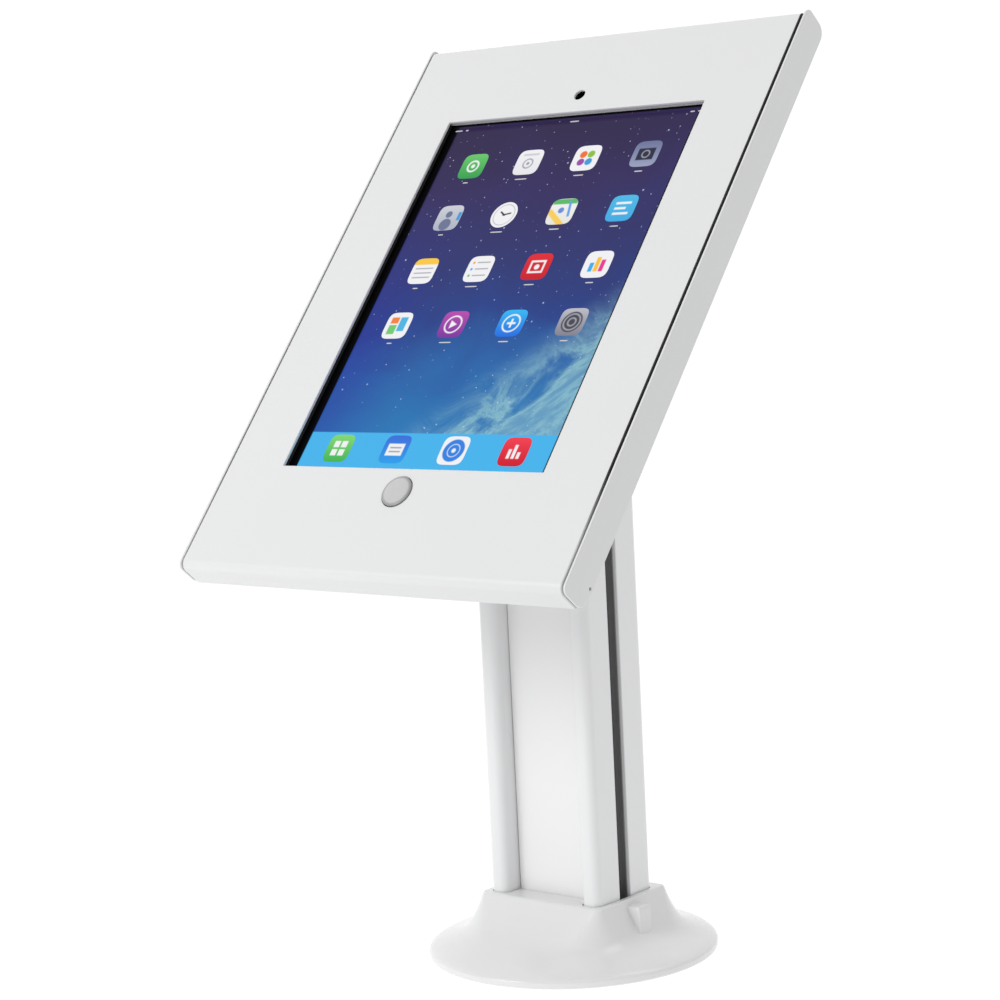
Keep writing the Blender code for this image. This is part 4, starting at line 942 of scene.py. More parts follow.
def build_back_shell(outline):
    """Thin-walled tray: its outline stepped inwards along a quarter circle at the back."""
    wall, round_back = 1.0 * MM, 2.4 * MM
    front = GLASS_FRONT - GLASS - GAP
    outer = anticlockwise(outline)
    inner = anticlockwise(inset(outer, wall))
    levels = [(inset(outer, i), TABLET_BACK + d) for i, d in edge_arc(round_back, 10)]
    levels += [(outer, front), (inner, front), (inner, TABLET_BACK + round_back),
               (inset(inner, round_back - wall), TABLET_BACK + wall)]
    shell = Shape()
    shell.grid([at_height(loop, level) for loop, level in levels])
    shell.cap([inset(outer, round_back)], TABLET_BACK)
    shell.cap([inset(inner, round_back - wall)], TABLET_BACK + wall)
    make_piece(shell, "tablet_back_shell", "stand", ["tablet_shell"], "tablet_aluminium")


def build_tablet():
    """Glass, shell, and two turned pieces: the dished home button and the domed lens."""
    outline = rectangle(TABLET_WIDTH, TABLET_LENGTH, TABLET_CORNER, (0.0, TABLET_CENTRE), 16)
    build_cover_glass(outline)
    build_screen_shapes()
    build_back_shell(outline)
    dome_turn = np.linspace(0.0, math.pi / 2, 9)
    front = GLASS_FRONT - 0.2 * MM
    dish = np.stack([3.8 * MM * np.sin(dome_turn), front - 0.35 * MM * np.cos(dome_turn)], 1)
    profile = np.concatenate([dish, [(4.6 * MM, front), (4.8 * MM, front - 0.2 * MM),
                                     (4.8 * MM, front - 1.5 * MM), (0.0, front - 1.5 * MM)]])
    make_piece(turned(Shape(), profile, (0.0, HOME_Y)), "tablet_home_dish", "tablet_home_button",
               ["tablet_home_button"], "black_plastic")
    lens = np.stack([1.3 * MM * np.sin(dome_turn),
                     GLASS_FRONT - 0.02 * MM + 0.05 * MM * np.cos(dome_turn)], 1)
    profile = np.concatenate([lens, [(1.3 * MM, GLASS_FRONT - 0.1 * MM),
                                     (0.0, GLASS_FRONT - 0.1 * MM)]])
    make_piece(turned(Shape(), profile, (0.0, CAMERA_Y), 48), "tablet_camera_lens", "stand",
               ["tablet_camera"], "black_plastic")


# ---- The lit shapes on the screen ---------------------------------------------------------
ICON_HALF = 7.3 * MM
ICON_COLUMNS = (-49.8 * MM, -16.6 * MM, 16.7 * MM, 50.1 * MM)
ICON_ROWS = (73.4 * MM, 42.8 * MM, 12.0 * MM, -18.9 * MM, -86.0 * MM)
WHITE = (0.94, 0.94, 0.95)
GREY = (0.62, 0.63, 0.66)


def disc(x, y, a, b, radius):
    """Signed distance to a disc: the distance to its centre less its radius."""
    return np.hypot(x - a, y - b) - radius


def hoop(x, y, a, b, radius, width):
    """Signed distance to a ring of a half width."""
    return np.abs(np.hypot(x - a, y - b) - radius) - width


def bar(x, y, a, b, half_a, half_b, turn=0.0):
    """Signed distance to a bar with slightly round corners."""
    c, s = math.cos(turn), math.sin(turn)
    p = np.abs((x - a) * c + (y - b) * s) - half_a
    q = np.abs((y - b) * c - (x - a) * s) - half_b
    return np.hypot(np.maximum(p, 0), np.maximum(q, 0)) + np.minimum(np.maximum(p, q), 0) - 0.03


def wedge(x, y, a, b, size, turn=0.0):
    """Signed distance to a triangle: the greatest of three half planes."""
    sides = [turn + 2 * math.pi * k / 3 for k in range(3)]
    return np.max([(x - a) * math.cos(t) + (y - b) * math.sin(t) for t in sides], 0) - size / 2


# Each icon: (top colour, bottom colour, [(shape, its sizes, colour), ...]), row by row.
ICONS = (
    ((0.42, 0.78, 0.42), (0.20, 0.62, 0.30), [(hoop, (0.0, 0.0, 0.42, 0.07), WHITE),
                                              (disc, (0.0, 0.0, 0.16), WHITE)]),
    (WHITE, (0.90, 0.90, 0.92), [(bar, (0.0, 0.62, 0.6, 0.05), (0.80, 0.80, 0.84)),
                                 (hoop, (0.0, -0.1, 0.36, 0.05), GREY),
                                 (disc, (0.0, -0.1, 0.12), GREY)]),
    (WHITE, WHITE, [(disc, (-0.3, 0.3, 0.27), (0.93, 0.45, 0.20)),
                    (disc, (0.3, 0.3, 0.27), (0.55, 0.75, 0.25)),
                    (disc, (-0.3, -0.3, 0.27), (0.60, 0.30, 0.65)),
                    (disc, (0.3, -0.3, 0.27), (0.25, 0.60, 0.85))]),
    ((0.42, 0.45, 0.60), (0.60, 0.63, 0.74), [(bar, (0.0, -0.02, 0.6, 0.42), (0.16, 0.17, 0.27)),
                                              (hoop, (0.0, -0.02, 0.27, 0.05), GREY)]),
    ((0.80, 0.81, 0.84), (0.68, 0.70, 0.76), [(disc, (-0.08, 0.28, 0.26), (0.42, 0.46, 0.58)),
                                              (disc, (-0.08, -0.52, 0.46), (0.42, 0.46, 0.58)),
                                              (bar, (0.82, 0.1, 0.1, 0.3), (0.25, 0.60, 0.85))]),
    (None, None, [(disc, (0.0, 0.0, 0.93), WHITE), (hoop, (0.0, 0.0, 0.8, 0.02), GREY),
                  (bar, (-0.14, 0.1, 0.24, 0.02, 2.5), (0.15, 0.15, 0.2)),
                  (bar, (0.2, 0.05, 0.3, 0.02, 0.2), (0.15, 0.15, 0.2))]),
    (WHITE, (0.90, 0.90, 0.86), [(bar, (0.0, 0.78, 0.9, 0.16), (0.35, 0.72, 0.40)),
                                 (bar, (-0.3, -0.5, 0.9, 0.16, -0.7), (0.97, 0.80, 0.35)),
                                 (bar, (0.5, 0.2, 0.06, 0.6, 0.2), (0.40, 0.62, 0.90)),
                                 (disc, (-0.1, 0.1, 0.22), (0.40, 0.55, 0.85))]),
    ((0.30, 0.72, 0.90), (0.25, 0.66, 0.88), [(bar, (0.0, 0.4, 0.55, 0.06), WHITE),
                                              (bar, (-0.15, 0.0, 0.4, 0.06), WHITE),
                                              (bar, (0.0, -0.4, 0.55, 0.06), WHITE)]),
    (WHITE, WHITE, [(bar, (0.0, 0.78, 0.98, 0.24), (0.97, 0.78, 0.25)),
                    (bar, (0.0, 0.2, 0.7, 0.01), GREY), (bar, (0.0, -0.15, 0.7, 0.01), GREY),
                    (bar, (0.0, -0.5, 0.7, 0.01), GREY)]),
    (WHITE, WHITE, [(disc, (-0.6, 0.5, 0.09), (0.95, 0.60, 0.20)),
                    (disc, (-0.6, 0.0, 0.09), (0.30, 0.60, 0.90)),
                    (disc, (-0.6, -0.5, 0.09), (0.35, 0.75, 0.40)),
                    (bar, (0.2, 0.5, 0.5, 0.01), GREY), (bar, (0.2, 0.0, 0.5, 0.01), GREY),
                    (bar, (0.2, -0.5, 0.5, 0.01), GREY)]),
    ((0.88, 0.16, 0.20), (0.78, 0.10, 0.16), [(bar, (0.0, 0.0, 0.56, 0.46), WHITE),
                                              (bar, (0.0, 0.0, 0.4, 0.3), (0.80, 0.14, 0.18)),
                                              (disc, (0.0, -0.02, 0.2), WHITE)]),
    (WHITE, WHITE, [(bar, (-0.4, -0.2, 0.12, 0.3), (0.25, 0.66, 0.90)),
                    (bar, (0.0, 0.0, 0.12, 0.5), (0.97, 0.75, 0.25)),
                    (bar, (0.4, -0.1, 0.12, 0.4), (0.90, 0.20, 0.55))]),
    (WHITE, WHITE, [(bar, (-0.36, 0.4, 0.28, 0.2), (0.95, 0.50, 0.25)),
                    (bar, (0.36, 0.1, 0.26, 0.5), (0.30, 0.70, 0.88)),
                    (bar, (-0.36, -0.3, 0.28, 0.32), (0.45, 0.78, 0.45))]),
    ((0.72, 0.30, 0.68), (0.48, 0.20, 0.62), [(hoop, (0.0, 0.0, 0.62, 0.06), WHITE),
                                              (wedge, (-0.06, 0.0, 0.36, math.pi), WHITE)]),
    ((0.20, 0.72, 0.95), (0.12, 0.42, 0.88), [(hoop, (0.0, 0.0, 0.62, 0.06), WHITE),
                                              (bar, (0.0, 0.0, 0.3, 0.05), WHITE),
                                              (bar, (0.0, 0.0, 0.05, 0.3), WHITE)]),
    ((0.74, 0.74, 0.78), (0.50, 0.50, 0.56), [(disc, (0.0, 0.0, 0.74), (0.28, 0.28, 0.33)),
                                              (hoop, (0.0, 0.0, 0.58, 0.06), GREY),
                                              (hoop, (0.0, 0.0, 0.28, 0.06), GREY)]),
    ((0.52, 0.84, 0.45), (0.25, 0.70, 0.32), [(bar, (-0.3, 0.3, 0.2, 0.2), WHITE),
                                              (bar, (0.3, 0.3, 0.2, 0.2), WHITE),
                                              (bar, (-0.3, -0.3, 0.2, 0.2), WHITE),
                                              (bar, (0.3, -0.3, 0.2, 0.2), WHITE)]),
    ((0.22, 0.42, 0.85), (0.16, 0.62, 0.92), [(bar, (0.0, -0.02, 0.62, 0.4), WHITE),
                                              (bar, (0.0, 0.12, 0.42, 0.02), GREY),
                                              (bar, (0.0, -0.16, 0.42, 0.02), GREY)]),
    (WHITE, WHITE, [(disc, (0.0, 0.0, 0.78), (0.20, 0.50, 0.88)),
                    (hoop, (0.0, 0.0, 0.44, 0.03), WHITE),
                    (disc, (0.0, 0.0, 0.16), WHITE)]),
    ((0.95, 0.25, 0.32), (0.80, 0.08, 0.16), [(bar, (-0.36, -0.15, 0.09, 0.3), WHITE),
                                              (bar, (0.0, 0.0, 0.09, 0.45), WHITE),
                                              (bar, (0.36, -0.25, 0.09, 0.2), WHITE)]),
)


def icon_patch(half_a, half_b, rings, sides, power=4.5):
    """Rings from the middle to a squared round, |a|^power + |b|^power = 1, scaled."""
    turn = np.arange(sides) * 2 * math.pi / sides
    c, s = np.cos(turn), np.sin(turn)
    reach = (np.abs(c) ** power + np.abs(s) ** power) ** (-1 / power)
    share = np.linspace(0.0, 1.0, rings)[:, None]
    return np.stack([share * reach * c * half_a, share * reach * s * half_b], -1)


def build_screen_shapes():
    """Icons, their caption dashes and the status marks, as thin patches just over the glass."""
    level = GLASS_FRONT + 0.02 * MM
    shape = Shape()
    tints = []

    def lay(patch, colours):
        rows = np.concatenate([patch, np.full((*patch.shape[:2], 1), level)], -1)
        shape.grid(rows)
        tints.append(colours.reshape(-1, 3))

    for number, (top, bottom, layers) in enumerate(ICONS):
        row, column = divmod(number, 4)
        centre = np.array((ICON_COLUMNS[column], ICON_ROWS[row]))
        round_face = top is None
        patch = icon_patch(ICON_HALF, ICON_HALF, 34, 96, 2.0 if round_face else 4.5)
        x, y = patch[..., 0] / ICON_HALF, patch[..., 1] / ICON_HALF
        share = (y[..., None] + 1) / 2
        start = np.array(WHITE if round_face else bottom)
        colours = start + (np.array(WHITE if round_face else top) - start) * share
        for maker, sizes, colour in layers:
            mask = np.clip(0.5 - maker(x, y, *sizes) / 0.06, 0.0, 1.0)[..., None]
            colours = colours * (1 - mask) + np.array(colour) * mask
        lay(patch + centre, colours)
        if row < 4:
            length = (3.0 + 1.3 * ((number * 7) % 4)) * 0.5 * MM
            dash = icon_patch(length, 0.32 * MM, 3, 24)
            lay(dash + centre - (0.0, ICON_HALF + 2.6 * MM), np.full((3, 24, 3), 0.80))
    for place, length in ((-69.5, 2.2), (-64.5, 0.8), (0.0, 2.6), (66.0, 1.2), (70.5, 1.6)):
        dash = icon_patch(length * MM, 0.4 * MM, 3, 24)
        lay(dash + (place * MM, 96.2 * MM), np.full((3, 24, 3), 0.75))
    mesh = bpy.data.meshes.new("screen_shapes")
    mesh.from_pydata(np.concatenate(shape.points).tolist(), [], shape.faces)
    tint = mesh.color_attributes.new("picture_colour", "FLOAT_COLOR", "POINT")
    light = linear(np.concatenate(tints))
    tint.data.foreach_set("color", np.column_stack([light, np.ones(len(light))]).ravel())
    bm = bmesh.new()
    bm.from_mesh(mesh)
    bmesh.ops.remove_doubles(bm, verts=bm.verts, dist=WELD)
    bmesh.ops.recalc_face_normals(bm, faces=bm.faces)
    bm.faces.ensure_lookup_table()
    if bm.faces[0].normal.dot(Vector(OUTWARD)) < 0:
        bmesh.ops.reverse_faces(bm, faces=bm.faces)
    bm.to_mesh(mesh)
    bm.free()
    make_piece(mesh, "screen_shapes", "stand", ["tablet_display"], "display")


def build_foams():
    """Foam strips behind the panel, round its window: flat blocks with rounded edges."""
    front, back = -PANEL_SHEET - GAP, GLASS_FRONT + GAP
    set_back, width = 0.8 * MM, 7.0 * MM
    half_x = WINDOW_WIDTH / 2 + set_back
    half_y = WINDOW_LENGTH / 2 + set_back
    ring_half = HOME_RADIUS + 4.6 * MM             # half the gap left for the button's ring
    outer = half_x + width
    top_low, top_high = half_y, CAMERA_Y - CAMERA_HOLE - 0.6 * MM
    strips = (
        ("foam_left", width, 2 * half_y, -half_x - width / 2, 0.0, "black_foam"),
        ("foam_right", width, 2 * half_y, half_x + width / 2, 0.0, "black_foam"),
        # The top strip takes the paler foam copy: painted light along the window's top.
        ("foam_top", 2 * outer, top_high - top_low, 0.0, (top_low + top_high) / 2, "pale_foam"),
        ("foam_bottom_left", outer - ring_half, width, -(outer + ring_half) / 2,
         -half_y - width / 2 - GAP, "black_foam"),
        ("foam_bottom_right", outer - ring_half, width, (outer + ring_half) / 2,
         -half_y - width / 2 - GAP, "black_foam"),
    )
    for name, across, along, a, b, slot in strips:
        outline = rectangle(across, along, 0.8 * MM, (a, b), 6)
        shape = plate(Shape(), outline, [], back, front, 0.6 * MM, 6)
        piece = make_piece(shape, name + "_strip", "front_panel", [name], slot)


def build_holding_pieces():
    """Flat outlines with round edges: a slotted ring round the tablet and a pad behind it."""
    middle, notch, play = TABLET_CENTRE, 6.0 * MM, 1.0 * MM
    small, outer_corner, inner_corner = 0.8 * MM, 3.0 * MM, 10.0 * MM
    outer_x, outer_y = CASE_INNER - 2 * GAP, TABLET_LENGTH / 2 + 7.0 * MM
    inner_x, inner_y = TABLET_WIDTH / 2 + play, TABLET_LENGTH / 2 + play
    outline = rounded([
        (notch, middle - outer_y, small), (outer_x, middle - outer_y, outer_corner),
        (outer_x, middle + outer_y, outer_corner), (-outer_x, middle + outer_y, outer_corner),
        (-outer_x, middle - outer_y, outer_corner), (-notch, middle - outer_y, small),
        (-notch, middle - inner_y, small), (-inner_x, middle - inner_y, inner_corner),
        (-inner_x, middle + inner_y, inner_corner), (inner_x, middle + inner_y, inner_corner),
        (inner_x, middle - inner_y, inner_corner), (notch, middle - inner_y, small)])
    cradle = plate(Shape(), outline, [], BACK_INNER + GAP, -8.0 * MM, 0.6 * MM)
    make_piece(cradle, "tablet_cradle_ring", "stand", ["tablet_cradle"], "cradle_plastic")
    margin, corner = 10.0 * MM, 4.0 * MM
    half_x = TABLET_WIDTH / 2 - margin
    low = middle - TABLET_LENGTH / 2 + margin
    high = middle + TABLET_LENGTH / 2 - margin
    notch_top = bracket_centre() + notch
    outline = rounded([
        (notch, low, small), (half_x, low, corner), (half_x, high, corner),
        (-half_x, high, corner), (-half_x, low, corner), (-notch, low, small),
        (-notch, notch_top, notch * 0.9), (notch, notch_top, notch * 0.9)])
    holes = [circle(4.8 * MM, 48, place) for place in case_screw_places()]
    pad = plate(Shape(), outline, holes, BACK_INNER + GAP, TABLET_BACK - GAP, 0.6 * MM, 5)
    piece = make_piece(pad, "back_pad_sheet", "stand", ["back_pad"], "black_foam")


def case_screw_places():
    """The four corners of a square about the bracket's centre."""
    half = CASE_SCREW_SPACING / 2
    middle = bracket_centre()
    return [(sx * half, middle + sy * half) for sy in (1, -1) for sx in (-1, 1)]


# ---- Lock ----------------------------------------------------------------------------------
def build_lock():
    """Barrel and plug turned about the lock's axis; nut, cam and striker are flat outlines."""
    face = LOCK_OUTER - LOCK_HEAD_PROUD
    end = CAM_FRONT - CAM_THICKNESS - 1.0 * MM
    corners = [(LOCK_BORE, face, 0.2 * MM), (LOCK_HEAD_RADIUS, face, 0.9 * MM),
               (LOCK_HEAD_RADIUS, LOCK_OUTER, 0.2 * MM), (LOCK_BARREL_RADIUS, LOCK_OUTER, 0.0),
               (LOCK_BARREL_RADIUS, end, 0.3 * MM), (LOCK_BORE, end, 0.2 * MM)]
    barrel = turned(Shape(), rounded(corners, 6), (0.0, LOCK_V), closed=True)
    make_piece(barrel, "lock_barrel_turned", "stand", ["lock_barrel"], "chrome")
    plug_end = CAM_FRONT - CAM_THICKNESS - GAP
    bore = 2.3 * MM
    bore_end = plug_end - 5.0 * MM
    profile = rounded([(0.0, face, 0.0), (LOCK_PLUG_RADIUS, face, 0.3 * MM),
                       (LOCK_PLUG_RADIUS, plug_end, 0.2 * MM), (bore, plug_end, 0.0),
                       (bore, bore_end, 0.0), (0.0, bore_end, 0.0)], 4)
    plug = turned(Shape(), profile, (0.0, LOCK_V), 64).mesh("plug")
    key = extrusion(Shape(), [rectangle(1.3 * MM, 5.6 * MM, 0.3 * MM, (0.0, LOCK_V), 3)],
                    face - 1.0 * MM, face + 4.0 * MM).mesh("key")
    make_piece(combine(plug, key, "DIFFERENCE", "lock_plug_turned"), "lock_plug_turned",
               "lock_cylinder", ["lock_plug"], "brass")
    nut_back = BACK_INNER + GAP
    hexagon = circle(15.5 * MM / math.sqrt(3.0), 6, (0.0, LOCK_V))
    hexagon = rounded([(a, b, 0.6 * MM) for a, b in hexagon], 3)
    nut = plate(Shape(), hexagon, [circle(LOCK_BARREL_RADIUS + GAP, 64, (0.0, LOCK_V))],
                nut_back, nut_back + 3.0 * MM, 0.35 * MM)
    make_piece(nut, "lock_nut_hex", "stand", ["lock_nut"], "zinc")
    tip = LOCK_V - 12.0 * MM
    half = 4.0 * MM
    outline = rounded([(-half, tip - half, 2.4 * MM), (half, tip - half, 2.4 * MM),
                       (half, LOCK_V + half, 3.9 * MM), (-half, LOCK_V + half, 3.9 * MM)])
    cam = plate(Shape(), outline, [circle(bore, 32, (0.0, LOCK_V))],
                CAM_FRONT - CAM_THICKNESS, CAM_FRONT, 0.25 * MM)
    make_piece(cam, "lock_cam_plate", "lock_cylinder", ["lock_cam"], "zinc")
    base = -PANEL_SHEET - GAP
    foot = CAM_FRONT - CAM_THICKNESS - 1.7 * MM
    leg, sheet = 18.0 * MM, 1.2 * MM
    tail = leg + sheet + 10.0 * MM
    outline = rounded([(leg, base, 0.5 * MM), (leg, foot, 0.3 * MM),
                       (leg - 8.5 * MM, foot, 0.4 * MM), (leg - 8.5 * MM, foot - sheet, 0.4 * MM),
                       (leg + sheet, foot - sheet, 1.2 * MM),
                       (leg + sheet, base - sheet, 0.3 * MM), (tail, base - sheet, 0.4 * MM),
                       (tail, base, 0.4 * MM)], 5)
    striker = plate(Shape("Y"), outline, [], LOCK_V - 5.0 * MM, LOCK_V + 5.0 * MM, 0.25 * MM)
    make_piece(striker, "lock_striker_hook", "front_panel", ["lock_striker"], "zinc")


# ---- Post -----------------------------------------------------------------------------------
def plane_height(depth):
    """Function of (x, y): world height of the plane that far behind the panel's face."""
    def height(x, y):
        forward = (y - HEAD_ORIGIN[1]) * math.cos(TILT)
        return HEAD_ORIGIN[2] + (depth + forward) / math.sin(TILT)
    return height


def post_outline(grow=0.0, slots=True):
    """Cross-section: side T-slots, recessed front and back, and four round-edged rails."""
    half_x, half_y = POST_WIDTH / 2 + grow, POST_DEPTH / 2 + grow
    rail = POST_WIDTH / 2 - RAIL_WIDTH - grow
    recess = POST_DEPTH / 2 - STRIP_RECESS + grow
    if slots:
        recess = POST_DEPTH / 2 - STRIP_RECESS - STRIP_THICKNESS - GAP
    quarter = [(half_x, half_y, POST_CORNER + grow), (rail, half_y, POST_CORNER - grow),
               (rail, recess, 0.3 * MM)]
    if slots:
        floor, lip = POST_WIDTH / 2 - SLOT_DEPTH, POST_WIDTH / 2 - SLOT_LIP
        cavity, opening = SLOT_CAVITY / 2, SLOT_OPENING / 2
        quarter = [(floor, cavity, 0.5 * MM), (lip, cavity, 0.3 * MM),
                   (lip, opening, 0.3 * MM), (half_x, opening, 0.5 * MM)] + quarter
    left = [(-a, b, r) for a, b, r in reversed(quarter)]
    top = quarter + left
    return rounded(top + [(-a, -b, r) for a, b, r in top], ARC)


def build_post():
    """Cross-section and its hollows carried up to the slanted plane under the bracket."""
    hollow_x = POST_WIDTH / 2 - SLOT_DEPTH - POST_WALL
    hollow_y = POST_DEPTH / 2 - STRIP_RECESS - STRIP_THICKNESS - GAP - POST_WALL
    hollow = rectangle(2 * hollow_x, 2 * hollow_y, 1.0 * MM)
    port_x = POST_WIDTH / 2 - RAIL_WIDTH / 2
    port_y = (POST_DEPTH / 2 + SLOT_CAVITY / 2) / 2
    ports = [circle(2.2 * MM, 32, (sx * port_x, sy * port_y)) for sx in (-1, 1) for sy in (-1, 1)]
    top = plane_height(BRACKET_BACK - GAP)
    post = extrusion(Shape(head=False), [post_outline(), hollow, *ports], POST_BOTTOM, top)
    make_piece(post, "post_extrusion", "stand", ["post"], "white_aluminium")
    half_x = POST_WIDTH / 2 - RAIL_WIDTH - GAP
    outer = POST_DEPTH / 2 - STRIP_RECESS
    for side, name in ((-1, "front_strip"), (1, "rear_strip")):
        outline = rectangle(2 * half_x, STRIP_THICKNESS, 0.4 * MM,
                            (0.0, side * (outer - STRIP_THICKNESS / 2)), 4)
        strip = extrusion(Shape(head=False), [outline], POST_BOTTOM, top)
        make_piece(strip, name + "_cover", "stand", [name], "white_plastic")


def screw_profile(seat, direction, length):
    """Pan head with a drive recess, a plain shank and a blunt tip, as (radius, height)."""
    turn = np.linspace(0.0, math.pi / 2, 7)
    low, crown = 0.45 * SCREW_HEAD_HEIGHT, 0.5 * SCREW_HEAD_HEIGHT
    dome = np.stack([SCREW_HEAD_RADIUS * (0.62 + 0.38 * np.sin(turn)),
                     low + 0.05 * SCREW_HEAD_HEIGHT + crown * np.cos(turn)], 1)
    recess = SCREW_RADIUS * 0.75
    rise = np.concatenate([[(0.0, low), (recess, low), (recess, 0.97 * SCREW_HEAD_HEIGHT)], dome,
                           [(SCREW_HEAD_RADIUS, 0.0), (SCREW_RADIUS, 0.0)]])
    rise = np.column_stack([rise[:, 0], seat - direction * rise[:, 1]])
    tip = seat + direction * length
    shank = [(SCREW_RADIUS, tip - direction * SCREW_RADIUS * 0.5), (SCREW_RADIUS * 0.5, tip),
             (0.0, tip)]
    return np.concatenate([rise, shank])


def build_head_bracket():
    """Slanted plate joined to an upright tube in the post, and six turned screws."""
    outline = rectangle(BRACKET_SIZE, BRACKET_SIZE, 6.0 * MM, (0.0, bracket_centre()))
    holes = [circle(2.3 * MM, 32, place) for place in case_screw_places()]
    base = plate(Shape(), outline, holes, BRACKET_BACK, BRACKET_FRONT, 0.5 * MM)
    half_x = POST_WIDTH / 2 - SLOT_DEPTH - POST_WALL - GAP
    half_y = POST_DEPTH / 2 - STRIP_RECESS - STRIP_THICKNESS - 2 * GAP - POST_WALL
    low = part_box("head_bracket")[0].z
    wall = 2.6 * MM
    loops = [rectangle(2 * half_x, 2 * half_y, 0.6 * MM, steps=4),
             rectangle(2 * (half_x - wall), 2 * (half_y - wall), 0.4 * MM, steps=4)]
    spigot = extrusion(Shape(head=False), loops, low, plane_height(BRACKET_BACK + 2.0 * MM))
    joined = combine(base.mesh("plate"), spigot.mesh("spigot"), "UNION",
                     "head_bracket_plate")
    make_piece(joined, "head_bracket_plate", "stand", ["head_bracket"], "steel")
    seat = BACK_INNER + GAP
    profile = screw_profile(seat, -1, seat - BRACKET_BACK)
    for number, place in enumerate(case_screw_places(), 1):
        name = f"case_screw_{number}"
        shape = turned(Shape(), profile, place, 48)
        make_piece(shape, name + "_turned", "stand", [name], "zinc")
    floor = POST_WIDTH / 2 - SLOT_DEPTH
    for side, name in ((-1, "spigot_screw_left"), (1, "spigot_screw_right")):
        low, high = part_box(name)
        profile = screw_profile(side * (floor + GAP), -side, POST_WALL + wall)
        shape = turned(Shape("X", head=False), profile, (0.0, (low.z + high.z) / 2), 48)
        make_piece(shape, name + "_turned", "stand", [name], "zinc")


# ---- Foot -----------------------------------------------------------------------------------
# Each point of the flare: height above the rim in mm, and share of the way to the rim.
FLARE = ((0.0, 1.0), (1.0, 0.985), (2.2, 0.93), (3.4, 0.84), (4.6, 0.73), (6.0, 0.6),
         (7.8, 0.46), (10.4, 0.325), (14.2, 0.22), (19.2, 0.11), (25.2, 0.0))


def smooth_curve(places, values, wanted):
    """Cubic through points, with each point's slope the mean of its two sides' slopes."""
    places, values = np.asarray(places, float), np.asarray(values, float)
    rise = np.diff(values) / np.diff(places)
    slope = np.concatenate([rise[:1], (rise[1:] + rise[:-1]) / 2, rise[-1:]])
    slope[0] = 0.0
    k = np.clip(np.searchsorted(places, wanted, "right") - 1, 0, len(places) - 2)
    width = places[k + 1] - places[k]
    t = (wanted - places[k]) / width
    return (values[k] * (1 + 2 * t) * (1 - t) ** 2 + slope[k] * width * t * (1 - t) ** 2
            + values[k + 1] * t * t * (3 - 2 * t) + slope[k + 1] * width * t * t * (t - 1))


def cover_ring(share, shrink, level):
    """Rounded rectangle that opens into a circle as the flare's share goes from 0 to 1."""
    collar_x = POST_WIDTH / 2 + COLLAR_WALL
    front = POST_DEPTH / 2 + COLLAR_WALL
    rear = POST_DEPTH / 2 + COLLAR_REAR_WALL
    half_x = collar_x + (COVER_RADIUS - collar_x) * share ** 1.2 - shrink
    low_y = front + (COVER_RADIUS - front) * share - shrink
    high_y = rear + (COVER_RADIUS - rear) * share - shrink
    half_y = (low_y + high_y) / 2
    sharp = COLLAR_CORNER + (COVER_RADIUS - COLLAR_CORNER) * share ** 1.1 - shrink
    corner = max(min(sharp, half_x * 0.999, half_y * 0.999), 0.4 * MM)
    ring = rectangle(2 * half_x, 2 * half_y, corner, (0.0, (high_y - low_y) / 2), 24)
    return at_height(ring, level)


def cover_boss(side):
    """Raised rib below the post's side slot: squared rings that step out towards the foot."""
    inner = POST_WIDTH / 2 + COLLAR_WALL - 1.6 * MM
    face = POST_WIDTH / 2 + COLLAR_WALL + BOSS_PROUD
    top = COVER_HEIGHT - 2.4 * MM
    half = BOSS_WIDTH / 2
    steps = ((BOSS_LOW, 1.5, 0.0), (BOSS_LOW + 3.0 * MM, 0.5, 0.0), (top - 2.0 * MM, 0.0, 0.0),
             (top - 1.0 * MM, -0.3, 0.1), (top - 0.3 * MM, -0.9, 0.4), (top, -1.8, 1.0))
    rows = []
    for level, out, narrow in steps:
        reach = face + out * MM
        wide = half - narrow * MM
        ring = rounded([(inner, -wide, 0.0), (reach, -wide, 1.2 * MM), (reach, wide, 1.2 * MM),
                        (inner, wide, 0.0)], 6)
        rows.append(at_height(ring * (side, 1.0), level))
    shape = Shape(head=False)
    shape.grid(rows)
    for row, level in ((rows[0], BOSS_LOW), (rows[-1], top)):
        shape.cap([row[:, :2]], level)
    return shape.mesh("boss")


